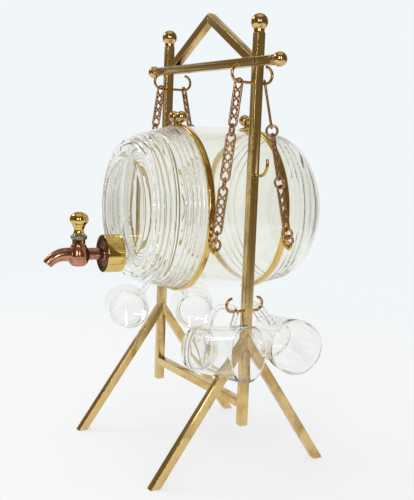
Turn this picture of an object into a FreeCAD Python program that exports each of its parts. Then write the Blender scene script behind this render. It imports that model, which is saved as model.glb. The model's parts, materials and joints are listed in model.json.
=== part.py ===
import FreeCAD, Part
import math
import os
import Sketcher
from FreeCAD import Placement, Rotation, Vector

# A glass spirit barrel lies in two brass hoops and hangs on four lattice chains between
# the posts of a brass stand.  Four glass mugs hang under it and a tap is screwed in front.
#
# Frame: X runs along the crossbar (+X is the right post), -Y is the tap side, Z is up,
# z = 0 is the table.  Everything that hangs is built in a second frame, turned about Z
# by hang_yaw, where X is across the barrel and Y runs along its axis.

# ---------------------------------------------------------------- driving sizes
# name, value (mm, or degrees where it says so), what it is
SIZES = [
    ("bar_side", 7.8, "square brass bar of the stand"),
    ("post_spacing", 164.4, "between the centre lines of the posts"),
    ("post_top", 395, "height of the posts without their balls"),
    ("post_chamfer", 1, "chamfer round the top of a post"),
    ("cross_height", 370, "centre line of the crossbar"),
    ("cross_overhang", 25.2, "crossbar beyond the centre line of a post"),
    ("roof_height", 419, "top of the ridge"),
    ("leg_spread", 93, "outer foot of a leg from the middle"),
    ("leg_joint", 126, "height where the legs meet the faces of a post"),
    ("stub_height", 45, "underside of the short post under the legs"),
    ("stretcher_height", 65, "centre line of the stretcher"),
    ("rivet", 3.2, "rivet through a lap joint"),
    ("rivet_sink", 0.4, "front end of the rivet below the face"),
    ("post_ball", 15, "ball on a post"),
    ("cross_ball", 12.6, "ball on an end of the crossbar"),
    ("ball_neck", 9.6, "neck under a ball"),
    ("neck_length", 2.4, "length of the neck under a post's ball"),
    ("cross_neck", 3.5, "length of the neck at an end of the crossbar"),
    ("wire", 2.6, "wire of every hook"),
    ("wire_fit", 0.1, "room round the wire in its hole"),
    ("chain_hook_height", 351.5, "wire of the chain hooks"),
    ("chain_hook_reach", 13.5, "middle of the wire to the lowest point of a curl"),
    ("chain_hook_curl", 14.4, "centre-line diameter of a curl"),
    ("mug_hook_height", 151, "wire of the mug hooks"),
    ("mug_hook_reach", 12.8, "middle of the wire to the lowest point of a curl"),
    ("mug_hook_curl", 12, "centre-line diameter of a curl"),
    ("mug_hook_slide", 2.7, "mug hooks slid along in their holes"),
    ("side_hook_height", 272, "wire of the single hook on the right post"),
    ("side_hook_reach", 11, "middle of the post to the start of its curl"),
    ("side_hook_curl", 21.8, "centre-line diameter of its curl"),
    ("hang_yaw", 3.5, "degrees the hanging barrel is turned against the stand"),
    ("link_length", 39.9, "opening of a link from end to end"),
    ("link_opening", 5.6, "opening of a link from rail to rail"),
    ("link_rail", 1.8, "rail round a link"),
    ("link_thickness", 2, "thickness of a link"),
    ("link_eye", 4.75, "plain eye at each end of the opening"),
    ("link_strand", 1, "strand of the lattice"),
    ("ring_outer", 12, "jump ring over all"),
    ("ring_wire", 2.3, "wire of a jump ring"),
    ("chain_play", 0.35, "gap where two parts of a chain hang in each other"),
    ("hook_play", 0.7, "gap where a link hangs on its hook"),
    ("lug_outset", 2, "lug holes outside the centre lines of the posts"),
    ("lug_drop", 30.2, "front lug holes below the axis of the barrel"),
    ("lug_hole", 3.4, "hole of a lug"),
    ("lug_width", 7.4, "width of a lug"),
    ("lug_thickness", 2, "thickness of a lug"),
    ("post_room", 1, "room between the barrel and a post"),
    ("hoop_proud", 1.3, "hoop beyond the belly of the barrel"),
    ("hoop_band", 6, "width of a hoop"),
    ("hoop_thickness", 2.2, "thickness of a hoop"),
    ("hoop_front", -31, "front hoop along the barrel"),
    ("hoop_back", 45, "back hoop along the barrel"),
    ("hoop_split", 2, "gap between the clamp ears"),
    ("ear_thickness", 2, "clamp ear"),
    ("ear_rise", 6.5, "clamp screw beyond the hoop"),
    ("clamp_screw", 3, "clamp screw"),
    ("clamp_ball", 11, "ball nut of a clamp"),
    ("glass_gap", 0.3, "glass to the hoops and to the cap"),
    ("barrel_front", -84.5, "rim of the front end"),
    ("barrel_back", 99, "flat back end"),
    ("panel", 95, "flat of the front end inside its rim"),
    ("panel_recess", 1.2, "flat of the front end behind its rim"),
    ("back_flat", 102, "flat of the back end"),
    ("glass_wall", 4.5, "wall of the barrel"),
    ("rib_rise", 1, "height of the moulded rings"),
    ("neck_drop", 42, "neck below the axis of the barrel"),
    ("neck_outer", 24.5, "neck"),
    ("neck_bore", 17, "bore of the neck"),
    ("neck_end", -95, "end of the neck"),
    ("cap_outer", 35, "brass cap"),
    ("cap_back", -86, "open end of the cap"),
    ("cap_front", -103, "rim of the cap"),
    ("cap_recess", 3, "depth of the recess in its face"),
    ("cap_rim", 2.5, "width of the rim"),
    ("washer", 2, "sealing washer"),
    ("flange", 24, "flange of the tap"),
    ("flange_thickness", 2, "its thickness"),
    ("tail", 11.2, "tail pipe"),
    ("waterway", 5.5, "bore of the tap"),
    ("tap_front", -125.5, "axis of the key"),
    ("housing", 16, "housing of the key"),
    ("housing_top", 9, "top of the housing above the bore"),
    ("housing_bottom", 11, "bottom of the housing below the bore"),
    ("spout_straight", 12.5, "key to the start of the bend"),
    ("spout_bend", 20, "bend of the spout"),
    ("spout_angle", 55, "degrees the spout turns down"),
    ("spout_outer", 10.6, "spout"),
    ("key_top", 9.6, "plug at the top of the housing"),
    ("key_bottom", 8, "plug at its lower end"),
    ("key_fit", 0.1, "room round the plug"),
    ("key_collar", 12, "collar over the housing"),
    ("key_collar_height", 4, "its height"),
    ("tin_ring", 15, "grey ring over the collar"),
    ("tin_height", 4.5, "its height"),
    ("key_waist", 9.8, "waist under the handle"),
    ("key_ball", 16.4, "width of the round handle"),
    ("key_ball_height", 12.4, "height of the round handle"),
    ("key_handle", 32.5, "middle of the handle above the bore"),
    ("mug_mouth", 49.4, "mug across its mouth"),
    ("mug_base", 40, "mug across its base"),
    ("mug_length", 60, "mug from base to mouth"),
    ("mug_wall", 2.4, "wall of a mug"),
    ("mug_floor", 8, "thick floor of a mug"),
    ("handle_span", 30.5, "handle along the mug"),
    ("handle_start", 5.5, "foot of the handle above the base"),
    ("handle_bend", 8, "bends of the handle"),
    ("handle_rise", 22.4, "handle out from the mug"),
    ("handle_bar", 5, "bar of the handle"),
    ("mug_rest", 0.8, "mug to the leg that it leans on"),
]

doc = FreeCAD.newDocument("barrel_on_stand")
sheet = doc.addObject("Spreadsheet::Sheet", "sizes")
for row, (name, value, note) in enumerate(SIZES, start=1):
    sheet.set("A%d" % row, note)
    sheet.set("B%d" % row, str(value))
    sheet.setAlias("B%d" % row, name)
doc.recompute()


class Sizes:
    """The cells of the sheet as plain numbers."""

    def __getattr__(self, name):
        return float(sheet.get(name))


s = Sizes()
X, Y, Z = Vector(1, 0, 0), Vector(0, 1, 0), Vector(0, 0, 1)
ORIGIN = Vector(0, 0, 0)
pieces = []


# ---------------------------------------------------------------- helpers
def name_piece(obj, label, place=Placement()):
    """Give an object its node name and its place in the frame of the stand."""
    obj.Label = label
    obj.Placement = place
    pieces.append(obj)
    return obj


def add_piece(label, shape, place=Placement()):
    """A piece whose shape is worked out from the sheet."""
    obj = doc.addObject("Part::Feature", label)
    obj.Shape = shape
    return name_piece(obj, label, place.multiply(shape.Placement))


def outline(body, role, name, loops):
    """Sketch of closed loops on an origin plane; each corner is a pair of expressions."""
    sketch = body.newObject("Sketcher::SketchObject", name)
    plane = [f for f in body.Origin.OriginFeatures if f.Role == role][0]
    sketch.AttachmentSupport = [(plane, "")]
    sketch.MapMode = "FlatFace"
    for corners in loops:
        first, count = sketch.GeometryCount, len(corners)
        points = [Vector(*[float(sketch.evalExpression(e)) for e in pair]) for pair in corners]
        for i in range(count):
            line = Part.LineSegment(points[i], points[(i + 1) % count])
            sketch.addGeometry(line, False)
        for i in range(count):
            ends = (first + i, 2, first + (i + 1) % count, 1)
            sketch.addConstraint(Sketcher.Constraint("Coincident", *ends))
        for i, pair in enumerate(corners):
            for kind, at, text in zip(("DistanceX", "DistanceY"), points[i], pair):
                row = sketch.addConstraint(Sketcher.Constraint(kind, -1, 1, first + i, 1, at))
                sketch.setExpression("Constraints[%d]" % row, text)
    return sketch


def circles(body, role, name, rounds):
    """Sketch of circles on an origin plane; each is centre u, centre v and diameter."""
    sketch = body.newObject("Sketcher::SketchObject", name)
    plane = [f for f in body.Origin.OriginFeatures if f.Role == role][0]
    sketch.AttachmentSupport = [(plane, "")]
    sketch.MapMode = "FlatFace"
    for i, texts in enumerate(rounds):
        u, v, wide = [float(sketch.evalExpression(e)) for e in texts]
        sketch.addGeometry(Part.Circle(Vector(u, v), Z, wide / 2), False)
        rows = [sketch.addConstraint(Sketcher.Constraint("DistanceX", -1, 1, i, 3, u)),
                sketch.addConstraint(Sketcher.Constraint("DistanceY", -1, 1, i, 3, v)),
                sketch.addConstraint(Sketcher.Constraint("Diameter", i, wide))]
        for row, text in zip(rows, texts):
            sketch.setExpression("Constraints[%d]" % row, text)
    return sketch


def bar(role, corners, length="sizes.bar_side"):
    """Body with one outline, padded to both sides of its plane."""
    body = doc.addObject("PartDesign::Body", "body")
    pad = body.newObject("PartDesign::Pad", "pad")
    pad.Profile = outline(body, role, "outline", [corners])
    pad.Midplane = True
    pad.setExpression("Length", length)
    doc.recompute()
    return body


def cut(body, sketch, length, midplane=True, reverse=False):
    """Pocket of a body from a sketch."""
    pocket = body.newObject("PartDesign::Pocket", "pocket")
    pocket.Profile = sketch
    pocket.Midplane = midplane
    pocket.Reversed = reverse
    pocket.setExpression("Length", length)
    doc.recompute()


def upright(r, z):
    return Vector(r, 0, z)


def lying(r, y):
    return Vector(r, y, 0)


def face_of(steps, at):
    """Face from steps: (a, b) is a corner, ((a, b), (c, d)) an arc through a, b to c, d."""
    edges = []
    here = steps[0]
    for step in steps[1:] + [steps[0]]:
        if isinstance(step[0], tuple):
            via, end = step
            edges.append(Part.Arc(at(*here), at(*via), at(*end)).toShape())
        else:
            end = step
            if at(*here).distanceToPoint(at(*end)) > 1e-6:
                edges.append(Part.makeLine(at(*here), at(*end)))
        here = end
    return Part.Face(Part.Wire(edges))


def turned(steps, at, axis):
    """Solid of revolution."""
    return face_of(steps, at).revolve(ORIGIN, axis, 360)


def frame(origin, across, normal, along):
    """Placement that takes local X, Y, Z to the three directions given."""
    return Placement(origin, Rotation(across, normal, along, "ZYX"))


def wire_section(start, direction):
    """Section of hook wire, six-sided to keep the faces few."""
    side = direction.cross(Z)
    corners = [start + (Z * math.cos(math.radians(60 * k)) + side * math.sin(math.radians(60 * k)))
               * (s.wire / 2) for k in range(7)]
    return Part.Face(Part.makePolygon(corners))


# ---------------------------------------------------------------- stand
HALF = "sizes.bar_side / 2"
POST = "sizes.post_spacing / 2"
INNER = "(%s - %s)" % (POST, HALF)
SLOPE = "(sizes.leg_joint / (sizes.leg_spread - %s))" % HALF
PEAK = "(sizes.leg_joint + %s * %s)" % (SLOPE, HALF)
LEG_DROP = "(sizes.bar_side * sqrt(1 + %s * %s))" % (SLOPE, SLOPE)
CROSS_TOP = "(sizes.cross_height + %s)" % HALF
CROSS_UNDER = "(sizes.cross_height - %s)" % HALF
PITCH = "((sizes.roof_height - %s) / %s)" % (CROSS_TOP, INNER)
ROOF_DROP = "(sizes.bar_side * sqrt(1 + %s * %s))" % (PITCH, PITCH)
SIDES = (("right", 1), ("left", -1))


def post(label, side):
    """Square post, notched over the ridge of the legs and half-lapped for the crossbar."""
    body = bar("YZ_Plane", [
        ("-" + HALF, "sizes.leg_joint"),
        ("0", PEAK),
        (HALF, "sizes.leg_joint"),
        (HALF, "sizes.post_top - sizes.post_chamfer"),
        (HALF + " - sizes.post_chamfer", "sizes.post_top"),
        ("sizes.post_chamfer - " + HALF, "sizes.post_top"),
        ("-" + HALF, "sizes.post_top - sizes.post_chamfer")])
    lap = outline(body, "YZ_Plane", "lap", [[
        ("-sizes.bar_side", CROSS_UNDER), ("0", CROSS_UNDER),
        ("0", CROSS_TOP), ("-sizes.bar_side", CROSS_TOP)]])
    cut(body, lap, "2 * sizes.bar_side")
    through = circles(body, "XZ_Plane", "through", [
        ("0", "sizes.cross_height", "sizes.rivet + 2 * sizes.wire_fit"),
        ("0", "sizes.chain_hook_height", "sizes.wire + 2 * sizes.wire_fit"),
        ("0", "sizes.mug_hook_height", "sizes.wire + 2 * sizes.wire_fit")])
    cut(body, through, "2 * sizes.bar_side")
    if side > 0:
        blind = circles(body, "YZ_Plane", "blind", [
            ("0", "sizes.side_hook_height", "sizes.wire + 2 * sizes.wire_fit")])
        cut(body, blind, "sizes.bar_side", midplane=False, reverse=True)
    name_piece(body, label, Placement(X * (side * s.post_spacing / 2), Rotation()))


def leg(label, side, front):
    """Sloping leg, cut level at the foot and mitred against its twin."""
    sign = "" if front > 0 else "-"
    body = bar("YZ_Plane", [
        ("%ssizes.leg_spread" % sign, "0"),
        ("0", PEAK),
        ("0", PEAK + " - " + LEG_DROP),
        ("%s(sizes.leg_spread - %s / %s)" % (sign, LEG_DROP, SLOPE), "0")])
    name_piece(body, label, Placement(X * (side * s.post_spacing / 2), Rotation()))


def post_foot(label, side):
    """Short post under the legs, pointed to fit between them."""
    body = bar("YZ_Plane", [
        ("-" + HALF, "sizes.stub_height"),
        (HALF, "sizes.stub_height"),
        (HALF, "sizes.leg_joint - " + LEG_DROP),
        ("0", PEAK + " - " + LEG_DROP),
        ("-" + HALF, "sizes.leg_joint - " + LEG_DROP)])
    name_piece(body, label, Placement(X * (side * s.post_spacing / 2), Rotation()))


def roof_bar(label, side):
    """Sloping roof bar, mitred at the ridge and cut level on the crossbar."""
    sign = "" if side > 0 else "-"
    body = bar("XZ_Plane", [
        ("0", "sizes.roof_height"),
        ("%s%s" % (sign, INNER), CROSS_TOP),
        ("%s(%s - %s / %s)" % (sign, INNER, ROOF_DROP, PITCH), CROSS_TOP),
        ("0", "sizes.roof_height - " + ROOF_DROP)])
    name_piece(body, label)


def crossbar():
    """Bar through both posts, half-lapped from behind."""
    reach = "(%s + sizes.cross_overhang)" % POST
    body = bar("XZ_Plane", [
        ("-" + reach, CROSS_UNDER), (reach, CROSS_UNDER),
        (reach, CROSS_TOP), ("-" + reach, CROSS_TOP)])
    laps = [[("%s - %s" % (middle, HALF), "0"), ("%s + %s" % (middle, HALF), "0"),
             ("%s + %s" % (middle, HALF), "sizes.bar_side"),
             ("%s - %s" % (middle, HALF), "sizes.bar_side")]
            for middle in ("-" + POST, POST)]
    slot = outline(body, "XY_Plane", "laps", laps)
    cut(body, slot, "4 * sizes.cross_height")
    holes = circles(body, "XZ_Plane", "holes", [
        (middle, "sizes.cross_height", "sizes.rivet + 2 * sizes.wire_fit")
        for middle in ("-" + POST, POST)])
    cut(body, holes, "2 * sizes.bar_side")
    name_piece(body, "crossbar")


def stretcher():
    """Plain bar between the two short posts."""
    low = "sizes.stretcher_height - " + HALF
    high = "sizes.stretcher_height + " + HALF
    body = bar("XZ_Plane", [("-" + INNER, low), (INNER, low), (INNER, high), ("-" + INNER, high)])
    name_piece(body, "stretcher")


def finial(ball, length):
    """Turned ball on a short neck, standing on z = 0."""
    r, neck = ball / 2, s.ball_neck / 2
    centre = length + math.sqrt(r * r - neck * neck)
    return turned([
        (0, 0), (neck, 0), (neck, length),
        ((r, centre), (0, centre + r))], upright, Z)


for word, side in SIDES:
    post("post_%s" % word, side)
    leg("leg_%s_front" % word, side, -1)
    leg("leg_%s_back" % word, side, 1)
    post_foot("post_foot_%s" % word, side)
    roof_bar("roof_bar_%s" % word, side)
crossbar()
stretcher()

post_x = s.post_spacing / 2
rivet_length = s.bar_side - s.rivet_sink
rivets = [Part.makeCylinder(s.rivet / 2, rivet_length,
                            Vector(side * post_x, s.bar_side / 2, s.cross_height), -Y)
          for side in (1, -1)]
add_piece("lap_rivets", Part.makeCompound(rivets))

post_finials = []
cross_finials = []
for side in (1, -1):
    ball = finial(s.post_ball, s.neck_length)
    ball.Placement = Placement(Vector(side * post_x, 0, s.post_top), Rotation())
    post_finials.append(ball)
    ball = finial(s.cross_ball, s.cross_neck)
    end = Vector(side * (post_x + s.cross_overhang), 0, s.cross_height)
    ball.Placement = Placement(end, Rotation(Z, X * side))
    cross_finials.append(ball)
add_piece("post_finials", Part.makeCompound(post_finials))
add_piece("crossbar_finials", Part.makeCompound(cross_finials))


# ---------------------------------------------------------------- hooks
def double_hook(reach, curl):
    """Wire through a post along Y with an upward curl at both ends, centred on z = 0."""
    shape = wire_section(Vector(0, -reach, 0), Y).extrude(Y * (2 * reach))
    for end in (1, -1):
        start = Vector(0, end * reach, 0)
        curve = wire_section(start, Y).revolve(start + Z * (curl / 2), X * end, 180)
        shape = shape.fuse(curve)
    return shape.removeSplitter()


def side_hook():
    """Wire out of the right post that curls up at its end."""
    start = Vector(s.side_hook_reach, 0, 0)
    curl = wire_section(start, X).revolve(start + Z * (s.side_hook_curl / 2), -Y, 112)
    return wire_section(ORIGIN, X).extrude(start).fuse(curl).removeSplitter()


turn = math.radians(s.hang_yaw)
belly_radius = s.post_spacing / 2 - s.bar_side / 2 - s.post_room
hoop_radius = belly_radius + s.hoop_proud
seat_radius = hoop_radius - s.hoop_thickness - s.glass_gap
lug_reach = s.post_spacing / 2 + s.lug_outset
ear_height = hoop_radius + s.ear_rise
hook_slide = post_x * math.tan(turn)
chain_hooks = []
mug_hooks = []
for side in (1, -1):
    hook = double_hook(s.chain_hook_reach, s.chain_hook_curl)
    hook.translate(Vector(side * post_x, -side * hook_slide, s.chain_hook_height))
    chain_hooks.append(hook)
    hook = double_hook(s.mug_hook_reach, s.mug_hook_curl)
    hook.translate(Vector(side * post_x, -side * s.mug_hook_slide, s.mug_hook_height))
    mug_hooks.append(hook)
add_piece("chain_hooks", Part.makeCompound(chain_hooks))
add_piece("mug_hooks", Part.makeCompound(mug_hooks))
add_piece("side_hook", side_hook(), Placement(Vector(post_x, 0, s.side_hook_height), Rotation()))


# ---------------------------------------------------------------- chains
CROSSINGS = 4


def lattice_link():
    """Flat link: a rail round a lattice of crossing strands, with a plain eye at each end."""
    half = s.link_opening / 2
    outer, end = half + s.link_rail, s.link_length / 2
    pitch = (s.link_length - 2 * s.link_eye) / CROSSINGS
    lean = math.atan2(pitch / 2, half)
    strand = s.link_strand / 2 / math.cos(lean)
    waist = strand * half / (pitch / 2)
    top = CROSSINGS * pitch / 2
    rim = face_of([
        (outer, half - end), (outer, end - half),
        ((0, end + s.link_rail), (-outer, end - half)), (-outer, half - end),
        ((0, -end - s.link_rail), (outer, half - end))], upright)
    holes = []
    for way in (1, -1):
        holes.append([
            (0, way * (top - pitch / 2 + strand)), (half, way * (top + strand)),
            (half, way * (end - half)), ((0, way * end), (-half, way * (end - half))),
            (-half, way * (top + strand))])
    for k in range(CROSSINGS - 1):
        middle = (k + 1) * pitch - top
        holes.append([
            (0, middle - pitch / 2 + strand), (half - waist, middle),
            (0, middle + pitch / 2 - strand), (waist - half, middle)])
    for k in range(CROSSINGS):
        middle = (k + 0.5) * pitch - top
        for way in (1, -1):
            holes.append([
                (way * waist, middle), (way * half, middle - pitch / 2 + strand),
                (way * half, middle + pitch / 2 - strand)])
    flat = rim.cut([face_of(hole, upright) for hole in holes])
    link = flat.extrude(Y * s.link_thickness)
    link.translate(Y * (-s.link_thickness / 2))
    return link.Solids[0]


def jump_ring():
    """Ring in the local XZ plane; its wire is six-sided to keep the faces few."""
    middle, r = (s.ring_outer - s.ring_wire) / 2, s.ring_wire / 2
    corners = [(middle + r * math.cos(math.radians(60 * k)), r * math.sin(math.radians(60 * k)))
               for k in range(6)]
    return turned(corners, lying, Y)


ring_hole = s.ring_outer - 2 * s.ring_wire
hook_grip = s.wire / 2 + s.hook_play
chain_length = (3 * s.link_length + 3 * ring_hole - hook_grip - 6 * s.chain_play
                + s.ring_outer - s.ring_wire - s.ring_wire / 2)
hang = Rotation(Z, -s.hang_yaw)
link_shape = lattice_link()
ring_shape = jump_ring()


def lug_place(pivot, side, hoop):
    """Lug hole in the frame of the stand, a whole chain below its hook."""
    hole = hang.multVec(Vector(side * lug_reach, hoop, 0))
    hole.z = pivot.z - math.sqrt(chain_length ** 2 - (hole - pivot).x ** 2 - (hole - pivot).y ** 2)
    return hole


def chain(label, side, pivot, lug, link_twists, ring_twists):
    """Links and rings hung on the line from a hook to its lug."""
    down = (lug - pivot).normalize()
    across = hang.multVec(X)
    across = (across - down * across.dot(down)).normalize()
    third = down.cross(across)

    def place(depth, twist):
        angle = math.radians(twist)
        normal = across * math.sin(angle) + third * math.cos(angle)
        return frame(pivot + down * depth, normal.cross(-down), normal, -down)

    depth = -hook_grip
    rings = []
    for k, twist in enumerate(link_twists, start=1):
        where = place(depth + s.link_length / 2, twist)
        add_piece("%s_link_%d" % (label, k), link_shape.copy(), where)
        depth += s.link_length - s.chain_play
        rings.append((depth + ring_hole / 2, ring_twists[k - 1]))
        depth += ring_hole - s.chain_play
    rings.append((depth + ring_hole / 2, ring_twists[-1]))
    shapes = []
    for middle, twist in rings:
        ring = ring_shape.copy()
        ring.Placement = place(middle, twist)
        shapes.append(ring)
    add_piece("%s_rings" % label, Part.makeCompound(shapes))


CHAINS = (
    ("chain_right_front", 1, -1, (30, 55, 80), (132, 158, 150, 90)),
    ("chain_right_back", 1, 1, (-30, -50, -75), (50, 28, 30, 90)),
    ("chain_left_front", -1, -1, (30, 60, 90), (135, 165, 150, 90)),
    ("chain_left_back", -1, 1, (0, -45, -90), (68, 23, 30, 90)),
)
lugs = {}
for label, side, end, link_twists, ring_twists in CHAINS:
    hook_y = end * s.chain_hook_reach - side * hook_slide
    pivot = Vector(side * post_x, hook_y, s.chain_hook_height)
    hoop_y = s.hoop_front if end < 0 else s.hoop_back
    lug = lug_place(pivot, side, hoop_y)
    lugs[side, end] = lug
    chain(label, side, pivot, lug, link_twists, ring_twists)

axis_z = lugs[1, -1].z + s.lug_drop
BARREL = Placement(Z * axis_z, hang)


# ---------------------------------------------------------------- barrel
def ribs(y0, r0, y1, r1, count):
    """Moulded rings along a line, each an arc from one valley to the next."""
    arcs = []
    for k in range(count):
        crest, valley = (k + 0.5) / count, (k + 1) / count
        arcs.append(((r0 + (r1 - r0) * crest + s.rib_rise, y0 + (y1 - y0) * crest),
                     (r0 + (r1 - r0) * valley, y0 + (y1 - y0) * valley)))
    return arcs


def glass_barrel():
    """Hollow barrel: plain belly, two hoop seats, moulded rings beyond them, a neck in front."""
    belly, seat, panel, flat = belly_radius, seat_radius, s.panel / 2, s.back_flat / 2
    front, back, wall = s.barrel_front, s.barrel_back, s.glass_wall
    half = s.hoop_band / 2 + s.glass_gap
    f0, f1 = s.hoop_front - half, s.hoop_front + half
    b0, b1 = s.hoop_back - half, s.hoop_back + half
    rim, waist, shoulder = belly - 14, belly - 7.5, belly - 6.5
    steps = [(0, front + s.panel_recess), (panel - 1.5, front + s.panel_recess), (panel, front),
             (rim - 9.3, front), ((rim - 2.5, front + 2), (rim, front + 6))]
    steps += ribs(front + 6, rim, front + 19.5, waist, 3)
    steps += [(waist, front + 21), (waist + 0.5, front + 28)]
    steps += ribs(front + 29.5, shoulder + 1, f0 - 0.5, belly - 1.3, 5)
    steps += [(belly - 1.3, f0), (seat, f0), (seat, f1), (belly - 0.8, f1),
              ((belly, (f1 + b0) / 2), (belly - 0.8, b0)), (seat, b0), (seat, b1)]
    steps += [(belly - 1.3, b1)] + ribs(b1 + 0.5, belly - 1.3, back - 20, belly - 6.5, 5)
    steps += [((belly - 13, back - 8), (flat, back)), (0, back)]
    inner = front + s.panel_recess + wall
    hollow = [(0, inner), (panel - 2, inner),
              ((rim - 6, front + 9), (rim - 2, front + 17)), (shoulder - wall + 1, front + 29.5),
              (seat - wall, f0), (seat - wall, b1), (belly - wall - 6.5, back - 21),
              ((belly - wall - 14, back - 10), (flat - 3, back - wall)), (0, back - wall)]
    shape = turned(steps, lying, Y)
    length = front - s.neck_end + wall / 2
    mouth = Vector(0, s.neck_end, -s.neck_drop)
    shape = shape.fuse(Part.makeCylinder(s.neck_outer / 2, length, mouth, Y))
    shape = shape.cut(turned(hollow, lying, Y))
    bore = Part.makeCylinder(s.neck_bore / 2, length + 2 * wall, mouth, Y)
    return shape.cut(bore)


def hoop(y, front_back):
    """Flat band split at the top, with two clamp ears and two lugs for the chains."""
    outer, inner = hoop_radius, hoop_radius - s.hoop_thickness
    half, soft = s.hoop_band / 2, s.hoop_thickness / 3
    band = turned([
        (inner, -half), (outer - soft, -half), (outer, soft - half), (outer, half - soft),
        (outer - soft, half), (inner, half)], lying, Y)
    ear_out = s.hoop_split / 2 + s.ear_thickness
    for way in (1, -1):
        lug = lugs[way, front_back]
        rise = lug.z - axis_z
        reach = math.hypot(lug_reach, rise)
        arm = Part.makeBox(reach - inner - s.hoop_thickness / 2, s.lug_thickness, s.lug_width,
                           Vector(inner + s.hoop_thickness / 2, -s.lug_thickness / 2,
                                  -s.lug_width / 2))
        eye = Part.makeCylinder(s.lug_width / 2, s.lug_thickness,
                                Vector(reach, -s.lug_thickness / 2, 0), Y)
        arm = arm.fuse(eye)
        arm.rotate(ORIGIN, Y, -math.degrees(math.atan2(rise, way * lug_reach)))
        hole = Part.makeCylinder(s.lug_hole / 2, 2 * s.hoop_band,
                                 Vector(way * lug_reach, -s.hoop_band, rise), Y)
        band = band.fuse(arm).cut(hole)
        ear = face_of([
            (-half, inner + s.hoop_thickness / 2), (half, inner + s.hoop_thickness / 2),
            (half, ear_height), ((0, ear_height + half), (-half, ear_height))],
            lambda a, b: Vector(way * ear_out, a, b))
        band = band.fuse(ear.extrude(X * (-way * s.ear_thickness)))
    split = Part.makeBox(s.hoop_split, 2 * s.hoop_band, 2 * hoop_radius,
                         Vector(-s.hoop_split / 2, -s.hoop_band, 0))
    screw_hole = Part.makeCylinder(s.clamp_screw / 2 + s.wire_fit, 4 * ear_out,
                                   Vector(-2 * ear_out, 0, ear_height), X)
    band = band.cut([split, screw_hole]).removeSplitter()
    band.translate(Y * y)
    return band


def clamp_nut():
    """Ball nut with a flat seat on z = 0 and a blind hole for the screw."""
    r, flat, hole = s.clamp_ball / 2, s.clamp_ball / 4, s.clamp_screw / 2 + s.wire_fit
    centre = math.sqrt(r * r - flat * flat)
    return turned([
        (hole, 0), (flat, 0), ((r, centre), (0, centre + r)),
        (0, centre + r / 2), (hole, centre + r / 2)], upright, Z)


add_piece("barrel", glass_barrel(), BARREL)
add_piece("hoop_front", hoop(s.hoop_front, -1), BARREL)
add_piece("hoop_back", hoop(s.hoop_back, 1), BARREL)
ear_face = s.hoop_split / 2 + s.ear_thickness
screws = []
nuts = []
for y in (s.hoop_front, s.hoop_back):
    grip = ear_face + s.clamp_ball * 0.4
    screws.append(Part.makeCylinder(s.clamp_screw / 2, 2 * grip, Vector(-grip, y, ear_height), X))
    for way in (1, -1):
        nut = clamp_nut()
        nut.Placement = Placement(Vector(way * ear_face, y, ear_height), Rotation(Z, X * way))
        nuts.append(nut)
add_piece("clamp_screws", Part.makeCompound(screws), BARREL)
add_piece("clamp_nuts", Part.makeCompound(nuts), BARREL)


# ---------------------------------------------------------------- cap and tap
NECK = Placement(Vector(0, 0, axis_z - s.neck_drop), hang)
cap_face = s.cap_front + s.cap_recess
cap_seat = s.neck_end - s.washer


def cap():
    """Screw cap over the neck, with a recessed face bored for the tap."""
    outer, skirt = s.cap_outer / 2, s.neck_outer / 2 + s.glass_gap
    soft, bore = 1, s.tail / 2 + s.wire_fit
    return turned([
        (bore, cap_face), (outer - s.cap_rim, cap_face), (outer - s.cap_rim, s.cap_front),
        (outer - soft, s.cap_front), (outer, s.cap_front + soft),
        (outer, s.cap_back - soft), (outer - soft, s.cap_back),
        (skirt, s.cap_back), (skirt, cap_seat), (bore, cap_seat)], lying, Y)


def tap_body():
    """Flange, tail, key housing and bent spout in one casting, bored from end to end."""
    key = Vector(0, s.tap_front, 0)
    flange_front = cap_face - s.flange_thickness
    shape = Part.makeCylinder(s.flange / 2, s.flange_thickness, Y * flange_front, Y)
    tail = Part.makeCylinder(s.tail / 2, cap_seat - s.tap_front, key, Y)
    r, dome = s.housing / 2, s.housing / 4
    house = turned([
        (0, -s.housing_bottom), ((r * 0.75, -s.housing_bottom + dome * 0.4),
                                 (r, -s.housing_bottom + dome)),
        (r, s.housing_top), (0, s.housing_top)], upright, Z)
    house.translate(key)
    bend = key - Y * s.spout_straight
    pivot = bend - Z * s.spout_bend

    def pipe(width):
        straight = Part.makeCylinder(width / 2, s.spout_straight, key, -Y)
        section = Part.Face(Part.Wire(Part.makeCircle(width / 2, bend, Y)))
        return straight.fuse(section.revolve(pivot, X, s.spout_angle))

    shape = shape.fuse([tail, house, pipe(s.spout_outer)])
    plug = Part.makeCone(s.key_bottom / 2 + s.key_fit, s.key_top / 2 + s.key_fit,
                         plug_length(), key - Z * plug_foot())
    bore = Part.makeCylinder(s.waterway / 2, cap_seat - s.tap_front + 1, key, Y)
    return shape.cut([plug, bore, pipe(s.waterway)]).removeSplitter()


def plug_foot():
    """Depth of the plug below the bore."""
    return s.housing_bottom - s.housing / 4


def plug_length():
    return plug_foot() + s.housing_top


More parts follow.
